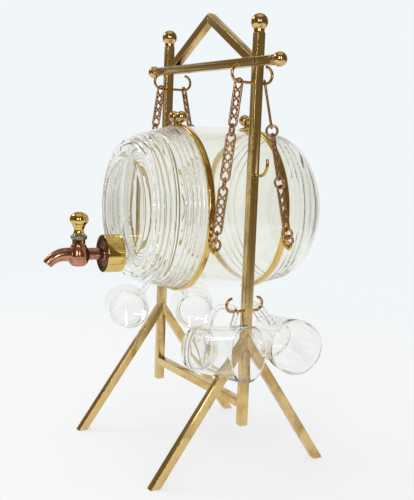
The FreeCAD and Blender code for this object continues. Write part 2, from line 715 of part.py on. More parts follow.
def tap_key():
    """Tapered plug with a cross port, a collar, a waist and a flattened ball to turn it by."""
    foot, top = plug_foot() - s.key_fit, s.housing_top
    collar, waist = s.key_collar / 2, s.key_waist / 2
    collar_top = top + s.glass_gap + s.key_collar_height
    ring_top = collar_top + s.tin_height
    ball, half = s.key_ball / 2, s.key_ball_height / 2
    low = s.key_handle - half * math.sqrt(1 - (waist / ball) ** 2)
    stem = s.key_top / 2 - 0.4
    shape = turned([
        (0, -foot), (s.key_bottom / 2, -foot), (s.key_top / 2, top), (s.key_top / 2,
                                                                       top + s.glass_gap),
        (collar, top + s.glass_gap), (collar, collar_top), (stem, collar_top),
        (stem, ring_top), (waist, ring_top), (waist - 0.8, (ring_top + low) / 2),
        (waist, low), (ball * 0.86, s.key_handle - half * 0.51), (ball, s.key_handle),
        (ball * 0.86, s.key_handle + half * 0.51), (ball * 0.5, s.key_handle + half * 0.87),
        (0, s.key_handle + half)], upright, Z)
    port = Part.makeCylinder(s.waterway / 2, s.housing, Vector(-s.housing / 2, 0, 0), X)
    return shape.cut(port)


def tin_ring():
    """Grey ring over the collar of the key."""
    base = s.housing_top + s.glass_gap + s.key_collar_height
    inner, outer = s.key_top / 2 - 0.4 + s.key_fit, s.tin_ring / 2
    return turned([
        (inner, base), (outer - 0.5, base), (outer, base + 0.5),
        (outer, base + s.tin_height - 0.5), (outer - 0.5, base + s.tin_height),
        (inner, base + s.tin_height)], upright, Z)


KEY = NECK.multiply(Placement(Y * s.tap_front, Rotation()))
washer_ring = turned([
    (s.tail / 2 + s.wire_fit, cap_seat), (s.neck_outer / 2, cap_seat),
    (s.neck_outer / 2, s.neck_end), (s.tail / 2 + s.wire_fit, s.neck_end)], lying, Y)
add_piece("neck_washer", washer_ring, NECK)
add_piece("cap", cap(), NECK)
add_piece("tap_body", tap_body(), NECK)
add_piece("tap_key", tap_key(), KEY)
add_piece("tin_ring", tin_ring(), KEY)


# ---------------------------------------------------------------- mugs
def mug():
    """Glass mug standing on z = 0, with a loop handle on its +X side."""
    base, mouth, length = s.mug_base / 2, s.mug_mouth / 2, s.mug_length
    body = turned([
        (0, 0), (base - 1.5, 0), (base, 1.5), (mouth, length - 1), (mouth - 0.8, length),
        (mouth - s.mug_wall, length), (0, length)], upright, Z)
    hollow = turned([
        (0, s.mug_floor), (base - s.mug_wall, s.mug_floor),
        (mouth - s.mug_wall, length), (0, length)], upright, Z)
    return body.fuse(mug_handle()).cut(hollow).removeSplitter()


def mug_radius(z):
    """Outer radius of a mug at a height."""
    return (s.mug_base + (s.mug_mouth - s.mug_base) * z / s.mug_length) / 2


def mug_handle():
    """Loop of eight-sided rod: out, round a quarter bend, along, round again and back."""
    rod = s.handle_bar / 2
    low, high = s.handle_start + rod, s.handle_start + s.handle_span - rod
    middle = mug_radius((low + high) / 2) + s.handle_rise - rod
    bend = s.handle_bend
    root = s.mug_base / 2 - s.mug_wall
    corner = rod / math.cos(math.pi / 8)
    section = Part.Face(Part.makePolygon([
        Vector(root, corner * math.cos(math.pi * (k + 0.5) / 4),
               low + corner * math.sin(math.pi * (k + 0.5) / 4)) for k in range(9)]))
    out = middle - bend - root
    shape = section.extrude(X * out)
    section.translate(X * out)
    turn_low = Vector(middle - bend, 0, low + bend)
    shape = shape.fuse(section.revolve(turn_low, -Y, 90))
    section.rotate(turn_low, -Y, 90)
    rise = high - low - 2 * bend
    shape = shape.fuse(section.extrude(Z * rise))
    section.translate(Z * rise)
    turn_high = turn_low + Z * rise
    shape = shape.fuse(section.revolve(turn_high, -Y, 90))
    section.rotate(turn_high, -Y, 90)
    return shape.fuse(section.extrude(X * -out))


def mug_place(side, end, yaw, lift):
    """Hang a mug by its handle on its hook, leaning on the sloping leg below.

    A mug whose mouth is lifted slides down until the hook is at the mouth end of the straight
    part of its handle, and one whose mouth droops until the hook is at the base end.
    """
    tilt = math.atan(s.leg_joint / (s.leg_spread - s.bar_side / 2))
    away = Vector(0, end * math.sin(tilt), math.cos(tilt))
    downhill = Vector(0, end * math.cos(tilt), -math.sin(tilt))
    mouth_way = Vector(side * math.cos(yaw) * math.cos(lift), -end * math.sin(yaw) * math.cos(lift),
                       math.sin(lift))
    curl = Vector(side * post_x, end * s.mug_hook_reach - side * s.mug_hook_slide,
                  s.mug_hook_height + s.mug_hook_curl / 2)
    seat = (s.mug_hook_curl - s.wire) / 2 - s.chain_play
    handle_middle = s.handle_start + s.handle_span / 2
    straight = s.handle_span / 2 - s.handle_bar / 2 - s.handle_bend
    grip = handle_middle + math.copysign(straight, lift)
    arm = mug_radius(handle_middle) + s.handle_rise - s.handle_bar
    foot = Vector(side * post_x, end * s.bar_side / 2, s.leg_joint)
    leg_length = s.leg_joint / math.sin(tilt)
    edges = [foot + X * (way * s.bar_side / 2) + downhill * (leg_length * k / 100)
             for way in (1, -1) for k in range(100)]

    def hung(lean):
        """Direction of the handle, and the middle of the mug, for a lean from upright."""
        down = Vector(0, end * math.sin(lean), -math.cos(lean))
        up = (mouth_way * down.dot(mouth_way) - down).normalize()
        return up, curl + down * seat - up * arm

    def room(middle):
        """Least distance from the mug to the upper edges of the leg."""
        gaps = []
        for point in edges:
            along = (point - middle).dot(mouth_way)
            gaps.append((point - middle - mouth_way * along).Length - mug_radius(grip + along))
        return min(gaps)

    low, high = 0.0, math.radians(80)
    for _ in range(30):
        lean = (low + high) / 2
        middle = hung(lean)[1]
        if (middle - foot).dot(away) < 0 or room(middle) < s.mug_rest:
            low = lean
        else:
            high = lean
    up, middle = hung(high)
    base = middle - mouth_way * grip
    pivots[side, end] = (middle + up * (arm + s.handle_bar / 2), mouth_way)
    return frame(base, up, mouth_way.cross(up), mouth_way)


MUGS = (
    ("mug_right_front", 1, -1, 20, 6),
    ("mug_right_back", 1, 1, 9, 2),
    ("mug_left_front", -1, -1, 21.5, -8.5),
    ("mug_left_back", -1, 1, -26.5, -6),
)
mug_shape = mug()
pivots = {}
for label, side, end, yaw, lift in MUGS:
    place = mug_place(side, end, math.radians(yaw), math.radians(lift))
    add_piece(label, mug_shape.copy(), place)


# ---------------------------------------------------------------- frame, checks and files
doc.recompute()
box = FreeCAD.BoundBox()
for piece in pieces:
    box.add(piece.Shape.optimalBoundingBox(False))
to_middle = Vector(-(box.XMin + box.XMax) / 2, -(box.YMin + box.YMax) / 2, 0)
for piece in pieces:
    piece.Placement = Placement(to_middle, Rotation()).multiply(piece.Placement)
doc.recompute()
print("frame moved by %.4f, %.4f" % (to_middle.x, to_middle.y))

for obj in doc.Objects:
    if "Invalid" in obj.State or "Error" in obj.State:
        raise RuntimeError("%s did not compute" % obj.Label)
os.makedirs("parts", exist_ok=True)
for piece in pieces:
    shape = piece.Shape
    if shape.isNull() or not shape.isValid():
        raise RuntimeError("%s has no valid shape" % piece.Label)
    shape.exportStep("parts/%s.step" % piece.Label)
    print("%-28s %2d solid(s) %10.1f mm3" % (piece.Label, len(shape.Solids), shape.Volume))
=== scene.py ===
# %% [markdown]
# # A hanging spirit barrel in a brass stand
#
# The object is a clear glass barrel that lies in two brass hoops and hangs on four cast chains
# between two brass posts. A tap is screwed to its front, and four small glass mugs hang by their
# handles below it. The CAD frame is loaded first. It fixes every size and every place, and each
# step below makes one kind of piece with its finished surface.

import json
import math

import bmesh
import bpy
import numpy as np
from mathutils import Matrix, Vector

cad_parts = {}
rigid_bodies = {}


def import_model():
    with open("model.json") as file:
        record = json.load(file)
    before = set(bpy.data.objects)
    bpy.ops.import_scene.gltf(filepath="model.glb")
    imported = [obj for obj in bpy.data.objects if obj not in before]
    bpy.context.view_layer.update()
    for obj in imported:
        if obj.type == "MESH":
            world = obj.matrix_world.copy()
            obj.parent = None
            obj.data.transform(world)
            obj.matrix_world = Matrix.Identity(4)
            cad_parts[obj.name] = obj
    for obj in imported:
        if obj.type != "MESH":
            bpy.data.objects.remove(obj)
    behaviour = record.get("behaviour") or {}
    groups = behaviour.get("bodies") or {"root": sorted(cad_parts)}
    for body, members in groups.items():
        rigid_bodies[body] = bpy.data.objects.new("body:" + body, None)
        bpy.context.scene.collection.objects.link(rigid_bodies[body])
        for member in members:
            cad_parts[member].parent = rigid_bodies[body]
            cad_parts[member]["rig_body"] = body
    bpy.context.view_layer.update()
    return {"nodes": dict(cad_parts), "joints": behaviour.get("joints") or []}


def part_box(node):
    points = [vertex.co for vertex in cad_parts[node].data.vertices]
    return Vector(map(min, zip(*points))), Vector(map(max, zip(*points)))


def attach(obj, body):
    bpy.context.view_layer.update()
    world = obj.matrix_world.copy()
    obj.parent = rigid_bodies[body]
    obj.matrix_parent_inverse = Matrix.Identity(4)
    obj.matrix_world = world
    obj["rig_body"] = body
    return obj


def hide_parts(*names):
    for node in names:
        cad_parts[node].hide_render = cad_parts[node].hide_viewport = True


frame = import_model()
nodes = frame["nodes"]
body_of_node = {name: piece["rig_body"] for name, piece in nodes.items()}
posts = [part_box("post_right"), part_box("post_left")]
stand_middle = sum((low + high for low, high in posts), Vector()) / 4
stand_middle.z = 0

# %% [markdown]
# ## Colours and nodes
#
# A colour is written as an sRGB hex value, the way a colour picker shows it. Shaders work with
# linear light, so one function turns the hex value into linear numbers. A second function adds a
# node to a tree, fills in its inputs and connects those that come from another node. Shader trees
# and Geometry Nodes trees both use it. Short functions add the nodes that come up most: a
# calculation, a colour between two others, and a noise.

# %% Colour and node helpers
MM = 0.001
WELD = 0.001 * MM  # points nearer than this are one point


def linear(hex_value):
    """A colour picker's hex value as linear red, green, blue and alpha."""
    parts = [int(hex_value[i : i + 2], 16) / 255 for i in (1, 3, 5)]
    return [p / 12.92 if p <= 0.04045 else ((p + 0.055) / 1.055) ** 2.4 for p in parts] + [1.0]


def add_node(tree, kind, inputs=None, **settings):
    """Adds a node. An input takes a number, a colour, an output socket, or a node to feed it."""
    node = tree.nodes.new(kind)
    for key, value in settings.items():
        setattr(node, key, value)
    for key, value in (inputs or {}).items():
        if isinstance(value, bpy.types.Node):
            value = next(output for output in value.outputs if output.enabled)
        if isinstance(value, bpy.types.NodeSocket):
            tree.links.new(value, node.inputs[key])
        else:
            node.inputs[key].default_value = value
    return node


def calc(tree, operation, *values, **settings):
    """A Math node on one or two values."""
    inputs = dict(enumerate(values))
    return add_node(tree, "ShaderNodeMath", inputs, operation=operation, **settings)


def mixed(tree, share, first, second):
    """A colour on the way from one to another, by a share from 0 to 1."""
    inputs = {"Factor": share, "A": first, "B": second}
    return add_node(tree, "ShaderNodeMix", inputs, data_type="RGBA")


def noise(tree, place, patch_mm, detail, roughness=0.5):
    """Noise with patches of a size in millimetres."""
    return add_node(
        tree,
        "ShaderNodeTexNoise",
        {"Vector": place, "Scale": 1 / (patch_mm * MM), "Detail": detail, "Roughness": roughness},
    )


def new_material(name):
    """An empty material and its tree."""
    material = bpy.data.materials.new(name)
    material.use_nodes = True
    material.node_tree.nodes.clear()
    return material, material.node_tree


print("half grey is", [round(c, 3) for c in linear("#808080")])

# %% [markdown]
# ## Brass
#
# Brass is copper with about a third of zinc. Its colour comes from the reflection alone, so the
# shader is fully metallic. Drawn bar starts bright and turns a duller, browner gold where air and
# hands reach it: a brown film lies on it in soft patches, and the film is rougher than the metal.
# Drawing leaves fine lines along the bar. Each bar carries a "grain" attribute, which is its own
# length, width and depth in metres, so that one material runs its lines along every bar. Polished,
# cast and turned pieces have the same film in smaller spots and no direction.

# %% Brass finishes
FILM_START, FILM_FULL = 0.62, 0.9  # noise at which the film starts and is full, for a share of 0
FILM_ROUGHNESS = 0.18  # how much rougher the film is than the metal
RELIEF_STRENGTH = 0.12
DRAWN_STRETCH = 0.02  # drawing makes each mark 50 times as long as it is wide


def brass(name, bright, film_colour, film_share, roughness, patch_mm, relief_mm, grain=False):
    """Brass with a brown film in patches, and a fine relief that is drawn, cast or polished."""
    material, tree = new_material(name)
    place = add_node(tree, "ShaderNodeTexCoord").outputs["Object"]
    patches = noise(tree, place, patch_mm, 6.0, 0.62)
    start, full = FILM_START - film_share, FILM_FULL - film_share
    film = add_node(
        tree, "ShaderNodeMapRange", {"Value": patches, "From Min": start, "From Max": full}
    )
    fine_place = place
    if grain:
        own = add_node(tree, "ShaderNodeAttribute", attribute_name="grain").outputs["Vector"]
        fine_place = add_node(
            tree, "ShaderNodeMapping", {"Vector": own, "Scale": (DRAWN_STRETCH, 1.0, 1.0)}
        )
    fine = noise(tree, fine_place, relief_mm, 3.0)
    shade = add_node(
        tree,
        "ShaderNodeMapRange",
        {"Value": fine, "From Min": 0.3, "From Max": 0.75, "To Min": -0.06, "To Max": 0.1},
    )
    share = calc(tree, "ADD", film, shade, use_clamp=True)
    colour = mixed(tree, share, linear(bright), linear(film_colour))
    gloss = add_node(
        tree,
        "ShaderNodeMapRange",
        {"Value": share, "To Min": roughness, "To Max": roughness + FILM_ROUGHNESS},
    )
    relief = add_node(
        tree,
        "ShaderNodeBump",
        {"Height": fine, "Strength": RELIEF_STRENGTH, "Distance": relief_mm * MM / 20},
    )
    shader = add_node(
        tree,
        "ShaderNodeBsdfPrincipled",
        {"Base Color": colour, "Metallic": 1.0, "Roughness": gloss, "Normal": relief},
    )
    add_node(tree, "ShaderNodeOutputMaterial", {"Surface": shader})
    return material


# Bar drawn through a square die and often handled: a soft, pale gold with fine lines along it.
drawn_brass = brass("drawn_brass_bar", "#dec084", "#a9864c", 0.13, 0.22, 26, 0.5, grain=True)
# Buffed bands and turned fittings: a clear yellow mirror with hardly any film.
polished_brass = brass("polished_brass", "#e0c074", "#a9823e", 0.05, 0.12, 14, 0.4)
# Balls turned and polished on the lathe: as glossy, but warmer and browner in spots.
ball_brass = brass("turned_brass_ball", "#dab981", "#9a7a4e", 0.1, 0.12, 8, 0.4)
# Hard wire bent cold: a deeper yellow with brown spots.
hook_brass = brass("bent_brass_wire", "#d3a860", "#8f6a34", 0.12, 0.16, 6, 0.3)
# Links cast in sand, with more copper: a pinkish brown that is half matt.
cast_brass = brass("cast_red_brass", "#c79c70", "#80593a", 0.17, 0.26, 3, 0.5)
# The tap's casting, turned bright: a copper pink with a soft mirror.
tap_brass = brass("turned_red_brass", "#c58d74", "#7c5548", 0.17, 0.17, 7, 0.5)
# The tap's brass with the shade of the cap's deep recess painted in: a dull, rougher copper brown.
recess_shade_red_brass = brass("recess_shade_red_brass", "#96644e", "#553225", 0.17, 0.45, 5, 0.5)
# Brass that was never polished: dark and matt, for the cap's recess and the rivets.
dark_brass = brass("unpolished_brass", "#6e5630", "#3c2c18", 0.2, 0.5, 5, 0.5)
print("brasses", drawn_brass.name, polished_brass.name, cast_brass.name, tap_brass.name)

# %% [markdown]
# ## Glass, tin and leather
#
# Soda-lime glass bends light with an index of 1.52 and shows its edges as grey lines. Pressed
# glass is a little wavy, and a faint bump stands for that. Old soda-lime glass has a trace of
# green from iron. Tin plate is a soft grey metal with a grey bloom. The washer under the tap's cap
# is tan leather with a fine grain.

# %% Glass finishes
SODA_LIME_IOR = 1.52


def glass(name, tint, wave_mm, depth_mm):
    """Soda-lime glass with a slightly wavy surface."""
    material, tree = new_material(name)
    place = add_node(tree, "ShaderNodeTexCoord").outputs["Object"]
    waves = noise(tree, place, wave_mm, 2.0)
    relief = add_node(
        tree, "ShaderNodeBump", {"Height": waves, "Strength": 0.3, "Distance": depth_mm * MM}
    )
    shader = add_node(
        tree,
        "ShaderNodeBsdfPrincipled",
        {
            "Base Color": linear(tint),
            "Roughness": 0.0,
            "IOR": SODA_LIME_IOR,
            "Transmission Weight": 1.0,
            "Normal": relief,
        },
    )
    add_node(tree, "ShaderNodeOutputMaterial", {"Surface": shader})
    return material


# Thick glass with slow waves from the mould: clear, with a trace of warm green in its edges.
barrel_glass = glass("pressed_soda_lime_glass", "#fafbf7", 16, 0.1)
# Thin glass, nearly without colour, with the shorter waves of blowing.
mug_glass = glass("blown_soda_lime_glass", "#fcfdfc", 12, 0.12)
# Light that is caught in a thick wall bounces many times before it leaves, and where Blender stops
# counting too soon the glass turns black.
LIGHT_BOUNCES = 32
paths = bpy.context.scene.cycles
paths.max_bounces = paths.glossy_bounces = paths.transmission_bounces = LIGHT_BOUNCES
print("glasses", barrel_glass.name, mug_glass.name, "with", LIGHT_BOUNCES, "bounces of light")

# %% Tin and leather finishes


def mottled(name, light, dark, metallic, roughness, grain_mm):
    """A matt surface whose colour and relief follow one fine noise."""
    material, tree = new_material(name)
    place = add_node(tree, "ShaderNodeTexCoord").outputs["Object"]
    grain = noise(tree, place, grain_mm, 4.0)
    spread = add_node(
        tree, "ShaderNodeMapRange", {"Value": grain, "From Min": 0.35, "From Max": 0.65}
    )
    colour = mixed(tree, spread, linear(light), linear(dark))
    relief = add_node(
        tree, "ShaderNodeBump", {"Height": grain, "Strength": 0.5, "Distance": grain_mm * MM / 8}
    )
    shader = add_node(
        tree,
        "ShaderNodeBsdfPrincipled",
        {"Base Color": colour, "Metallic": metallic, "Roughness": roughness, "Normal": relief},
    )
    add_node(tree, "ShaderNodeOutputMaterial", {"Surface": shader})
    return material


# Soft grey metal with a darker bloom, neither matt nor mirror.
tin_plate = mottled("tin_plate", "#b4b2ac", "#6f6d68", 1.0, 0.36, 1.2)
# Matt tan hide with a fine grain.
washer_leather = mottled("tan_leather", "#8a6038", "#5c3c20", 0.0, 0.8, 0.6)
print("others", tin_plate.name, washer_leather.name)

# %% [markdown]
# ## Trees that grow pieces
#
# Most pieces of this object follow a simple rule. Balls, nuts, the cap, the key, the mugs and the
# barrel are turned: one outline swung round an axis. Hooks, jump rings and mug handles are wire
# swept along a path. A Geometry Nodes tree holds each rule once, with its sizes as named inputs.
# The result is taken as a plain mesh, which is then set in its place.

# %% Helpers for objects and meshes


def in_scene(name, data):
    """A new object in the scene."""
    thing = bpy.data.objects.new(name, data)
    bpy.context.scene.collection.objects.link(thing)
    return thing


def plain_mesh(thing):
    """The mesh that an object's modifiers make. The object itself is removed."""
    graph = bpy.context.evaluated_depsgraph_get()
    mesh = bpy.data.meshes.new_from_object(thing.evaluated_get(graph))
    bpy.data.objects.remove(thing)
    return mesh


def outward(mesh):
    """Turns a closed mesh the right way round if its faces point inwards."""
    skin = bmesh.new()
    skin.from_mesh(mesh)
    if skin.calc_volume(signed=True) < 0:
        mesh.flip_normals()
    skin.free()
    return mesh


def path_mesh(points, thickness=None):
    """Points in a row with edges between them, and how thick the wire is at each."""
    edges = [(k, k + 1) for k in range(len(points) - 1)]
    mesh = bpy.data.meshes.new("path")
    mesh.from_pydata([tuple(p) for p in points], edges, [])
    layer = mesh.attributes.new("thickness", "FLOAT", "POINT")
    layer.data.foreach_set("value", thickness or [1.0] * len(points))
    return mesh


print("points in a path of three", len(path_mesh([(0, 0, 0), (1, 0, 0), (2, 0, 0)]).vertices))

# %% Helpers for Geometry Nodes


def new_tree(name, sockets):
    """A Geometry Nodes tree with geometry in and out, and further named inputs."""
    tree = bpy.data.node_groups.new(name, "GeometryNodeTree")
    tree.is_modifier = True
    tree.interface.new_socket("Geometry", in_out="INPUT", socket_type="NodeSocketGeometry")
    for label, kind, value in sockets:
        socket = tree.interface.new_socket(label, in_out="INPUT", socket_type="NodeSocket" + kind)
        if value is not None:
            socket.default_value = value
    tree.interface.new_socket("Geometry", in_out="OUTPUT", socket_type="NodeSocketGeometry")
    return tree, tree.nodes.new("NodeGroupInput").outputs


def smoothed(tree, geometry, sharp_above):
    """Smooth shading, except at edges that turn by more than an angle."""
    smooth = add_node(
        tree, "GeometryNodeSetShadeSmooth", {"Geometry": geometry, "Shade Smooth": True}
    )
    turn = add_node(tree, "GeometryNodeInputMeshEdgeAngle").outputs["Unsigned Angle"]
    sharp = calc(tree, "GREATER_THAN", turn, sharp_above)
    return add_node(
        tree,
        "GeometryNodeSetShadeSmooth",
        {"Geometry": smooth, "Selection": sharp, "Shade Smooth": False},
        domain="EDGE",
    )


def circle(tree, corners, diameter):
    """A circle as a curve with a number of corners."""
    half = calc(tree, "MULTIPLY", diameter, 0.5)
    return add_node(
        tree, "GeometryNodeCurvePrimitiveCircle", {"Resolution": corners, "Radius": half}
    )


def end_tree(tree, given, geometry):
    """Ends a tree with real geometry in the finish that the tree was given."""
    real = add_node(tree, "GeometryNodeRealizeInstances", {"Geometry": geometry})
    finished = add_node(
        tree, "GeometryNodeSetMaterial", {"Geometry": real, "Material": given["Finish"]}
    )
    add_node(tree, "NodeGroupOutput", {"Geometry": finished})


def grow(mesh, tree, values):
    """The plain mesh that a tree makes of a mesh, with the tree's inputs set by name."""
    seed = in_scene(tree.name, mesh)
    modifier = seed.modifiers.new(tree.name, "NODES")
    modifier.node_group = tree
    for item in tree.interface.items_tree:
        if item.item_type == "SOCKET" and item.in_out == "INPUT" and item.name in values:
            modifier[item.identifier] = values[item.name]
    return plain_mesh(seed)


print("node trees so far", len(bpy.data.node_groups))

# %% [markdown]
# The turned tree takes an outline as a row of points. It makes a flat grid with as many rows as
# the outline has points and one column for each step round the axis. Then it sets each point of
# the grid on its outline point, swung round by its column's angle, and welds the last column to
# the first.

# %% The turned piece
SHARP_TURN = 32
turned_tree, given = new_tree(
    "turned_piece",
    [
        ("Segments", "Int", 96),
        ("Sharp above", "Float", math.radians(SHARP_TURN)),
        ("Finish", "Material", None),
    ],
)
rows = add_node(turned_tree, "GeometryNodeAttributeDomainSize", {"Geometry": given["Geometry"]})
columns = calc(turned_tree, "ADD", given["Segments"], 1.0)
sheet = add_node(turned_tree, "GeometryNodeMeshGrid", {"Vertices X": columns, "Vertices Y": rows})
index = add_node(turned_tree, "GeometryNodeInputIndex")
index_middle = calc(turned_tree, "ADD", index, 0.5)
column_part = calc(turned_tree, "DIVIDE", index_middle, rows)
column = calc(turned_tree, "FLOOR", column_part)
passed = calc(turned_tree, "MULTIPLY", column, rows)
row = calc(turned_tree, "SUBTRACT", index, passed)
position = add_node(turned_tree, "GeometryNodeInputPosition")
outline_point = add_node(
    turned_tree,
    "GeometryNodeSampleIndex",
    {"Geometry": given["Geometry"], "Value": position, "Index": row},
    data_type="FLOAT_VECTOR",
)
step_angle = calc(turned_tree, "DIVIDE", math.tau, given["Segments"])
angle = calc(turned_tree, "MULTIPLY", column, step_angle)
swung = add_node(
    turned_tree,
    "ShaderNodeVectorRotate",
    {"Vector": outline_point, "Angle": angle},
    rotation_type="Z_AXIS",
)
shell = add_node(turned_tree, "GeometryNodeSetPosition", {"Geometry": sheet, "Position": swung})
welded = add_node(
    turned_tree, "GeometryNodeMergeByDistance", {"Geometry": shell, "Distance": WELD}
)
end_tree(turned_tree, given, smoothed(turned_tree, welded, given["Sharp above"]))


def arc(centre, radius, start, end, steps):
    """Points on an arc, with the angles in degrees, as radius and height in millimetres."""
    angles = [math.radians(start + (end - start) * k / steps) for k in range(steps + 1)]
    return [(centre[0] + radius * math.cos(a), centre[1] + radius * math.sin(a)) for a in angles]


def turned(outline, finish, segments=96, sharp=SHARP_TURN):
    """A turned piece on the Z axis. Its outline is radius and height in millimetres."""
    mesh = path_mesh([(max(r, 0) * MM, 0, h * MM) for r, h in outline])
    values = {"Segments": segments, "Sharp above": math.radians(sharp), "Finish": finish}
    return outward(grow(mesh, turned_tree, values))


trial = turned([(0, 0), (10, 0), (10, 20), (0, 20)], polished_brass)
print("a turned cylinder has", len(trial.vertices), "points and", len(trial.polygons), "faces")

# %% The swept wire
WIRE_SIDES = 20
wire_tree, given = new_tree(
    "swept_wire",
    [("Diameter", "Float", 0.0026), ("Sides", "Int", WIRE_SIDES), ("Finish", "Material", None)],
)
path_curve = add_node(wire_tree, "GeometryNodeMeshToCurve", {"Mesh": given["Geometry"]})
thickness = add_node(
    wire_tree, "GeometryNodeInputNamedAttribute", {"Name": "thickness"}, data_type="FLOAT"
)
thick_curve = add_node(
    wire_tree, "GeometryNodeSetCurveRadius", {"Curve": path_curve, "Radius": thickness}
)
section = circle(wire_tree, given["Sides"], given["Diameter"])
sweep = add_node(
    wire_tree,
    "GeometryNodeCurveToMesh",
    {"Curve": thick_curve, "Profile Curve": section, "Scale": thickness, "Fill Caps": True},
)
end_tree(wire_tree, given, smoothed(wire_tree, sweep, math.radians(50)))


def wire(points, diameter_mm, finish, thickness=None, sides=WIRE_SIDES):
    """Wire swept along points in metres."""
    values = {"Diameter": diameter_mm * MM, "Sides": sides, "Finish": finish}
    return outward(grow(path_mesh(points, thickness), wire_tree, values))


def round_tips(points, diameter):
    """Adds close points at both ends of a path, so that the wire ends in half balls."""
    cover = [math.radians(a) for a in (90, 75, 58, 40, 20)]
    first = (points[0] - points[1]).normalized()
    last = (points[-1] - points[-2]).normalized()
    ball = [(math.sin(a) * diameter / 2, max(math.cos(a), 0.02)) for a in cover]
    head = [(points[0] - first * (diameter / 2 - out), thick) for out, thick in ball]
    tail = [(points[-1] - last * (diameter / 2 - out), thick) for out, thick in reversed(ball)]
    middle = [(p, 1.0) for p in points[1:-1]]
    rows = head + middle + tail
    return [p for p, _ in rows], [t for _, t in rows]


trial = wire([(0, 0, 0), (0, 0, 0.01)], 2.6, hook_brass)
print("a straight wire has", len(trial.polygons), "faces")

# %% [markdown]
# ## Reading places from the frame
#
# A CAD piece keeps its place in its points, so the place of a link, a ring or a mug is read back
# from them. The directions in which the points of a part spread most and least are its length and
# its thickness, and the middle of its box along these directions is its centre.

# %% Places of the parts of a node


def parts_of(node):
    """The points of each separate solid of a CAD node."""
    skin = bmesh.new()
    skin.from_mesh(nodes[node].data)
    bmesh.ops.remove_doubles(skin, verts=skin.verts, dist=WELD)
    waiting = set(skin.verts)
    found = []
    while waiting:
        group = [waiting.pop()]
        for vert in group:
            for edge in vert.link_edges:
                other = edge.other_vert(vert)
                if other in waiting:
                    waiting.discard(other)
                    group.append(other)
        found.append(np.array([v.co for v in group]))
    skin.free()
    return sorted(found, key=lambda points: tuple(points.mean(0).round(4)))


def spread_frame(points):
    """Centre, directions from the shortest spread to the longest, and the sizes along them."""
    away = points - points.mean(0)
    directions = np.linalg.eigh(away.T @ away)[1]
    if np.linalg.det(directions) < 0:
        directions[:, 0] *= -1
    inside = points @ directions
    low, high = inside.min(0), inside.max(0)
    return directions @ ((low + high) / 2), directions, high - low


def place_matrix(centre, x_way, y_way, z_way):
    """The matrix that sets a piece at a centre, with its own X, Y and Z in three directions."""
    matrix = Matrix.Identity(4)
    for column_number, way in enumerate((x_way, y_way, z_way, centre)):
        for row_number in range(3):
            matrix[row_number][column_number] = way[row_number]
    return matrix


def joined(meshes, name):
    """One mesh from several."""
    skin = bmesh.new()
    for mesh in meshes:
        skin.from_mesh(mesh)
    whole = bpy.data.meshes.new(name)
    skin.to_mesh(whole)
    skin.free()
    for material in meshes[0].materials:
        whole.materials.append(material)
    return whole


def moved(mesh, matrix):
    """A copy of a mesh, set in its place."""
    copy = mesh.copy()
    copy.transform(matrix)
    return copy


def add_piece(node, mesh):
    """Shows a finished mesh instead of its CAD node, on the node's body."""
    mesh.name = node + "_finished"
    piece = in_scene(node + "_finished", mesh)
    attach(piece, body_of_node[node])
    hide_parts(node)


print("the chain hooks are", len(parts_of("chain_hooks")), "solids")

# %% [markdown]
# ## Bars of the stand
#
# The stand is square brass bar, mitred and soldered. A CAD solid has perfectly sharp edges, while
# a drawn bar has a small round on each edge, and that round catches a thin bright line of light.
# Each bar is copied, its loose triangles are merged, flat areas become single faces and the edges
# get a narrow bevel. The bar's own length, width and depth go into its "grain" attribute.

# %% Softened copies of machined pieces
FLAT_WITHIN, EDGE_ABOVE = math.radians(0.6), math.radians(35)


def softened(node, material, edge_mm):
    """A copy of a CAD piece with rounded edges and its grain directions."""
    mesh = nodes[node].data.copy()
    skin = bmesh.new()
    skin.from_mesh(mesh)
    bmesh.ops.remove_doubles(skin, verts=skin.verts, dist=WELD)
    bmesh.ops.dissolve_limit(
        skin,
        angle_limit=FLAT_WITHIN,
        verts=skin.verts,
        edges=skin.edges,
        use_dissolve_boundaries=False,
    )
    for face in skin.faces:
        face.smooth = True
    skin.to_mesh(mesh)
    skin.free()
    mesh.materials.clear()
    mesh.materials.append(material)
    piece = in_scene(node, mesh)
    bevel = piece.modifiers.new("rounded edges", "BEVEL")
    bevel.width = edge_mm * MM
    bevel.segments = 2
    bevel.limit_method = "ANGLE"
    bevel.angle_limit = EDGE_ABOVE
    bevel.harden_normals = True
    bevel.use_clamp_overlap = False
    result = plain_mesh(piece)
    points = np.array([v.co for v in result.vertices])
    directions = spread_frame(points)[1]
    own = (points @ directions)[:, ::-1]
    layer = result.attributes.new("grain", "FLOAT_VECTOR", "POINT")
    layer.data.foreach_set("vector", own.astype(np.float32).ravel())
    return result


bar_nodes = [n for n in nodes if n.startswith(("post_right", "post_left", "post_foot", "leg_"))]
bar_nodes += ["roof_bar_right", "roof_bar_left", "crossbar", "stretcher"]
for node in sorted(bar_nodes):
    add_piece(node, softened(node, drawn_brass, 0.4))
add_piece("lap_rivets", softened("lap_rivets", dark_brass, 0.15))
for node in ("hoop_front", "hoop_back"):
    add_piece(node, softened(node, polished_brass, 0.3))
add_piece("clamp_screws", softened("clamp_screws", polished_brass, 0.2))
print("bars and bands", len(bar_nodes) + 4)

# %% [markdown]
# ## Turned balls and nuts
#
# Each post and each end of the crossbar carries a turned ball on a short neck, and each hoop is
# clamped by a screw with a ball nut on both sides. The lathe leaves a crisp corner where the ball
# meets its neck. The ball's diameter and the length of the whole piece come from the CAD piece.

# %% Balls


def ball_outline(diameter, length, neck):
    """Outline of a ball on a neck that stands on height 0, in millimetres."""
    radius = diameter / 2
    low_angle = -math.degrees(math.acos(neck / 2 / radius))
    return [(0, 0), (neck / 2, 0)] + arc((0, length - radius), radius, low_angle, 90, 36)


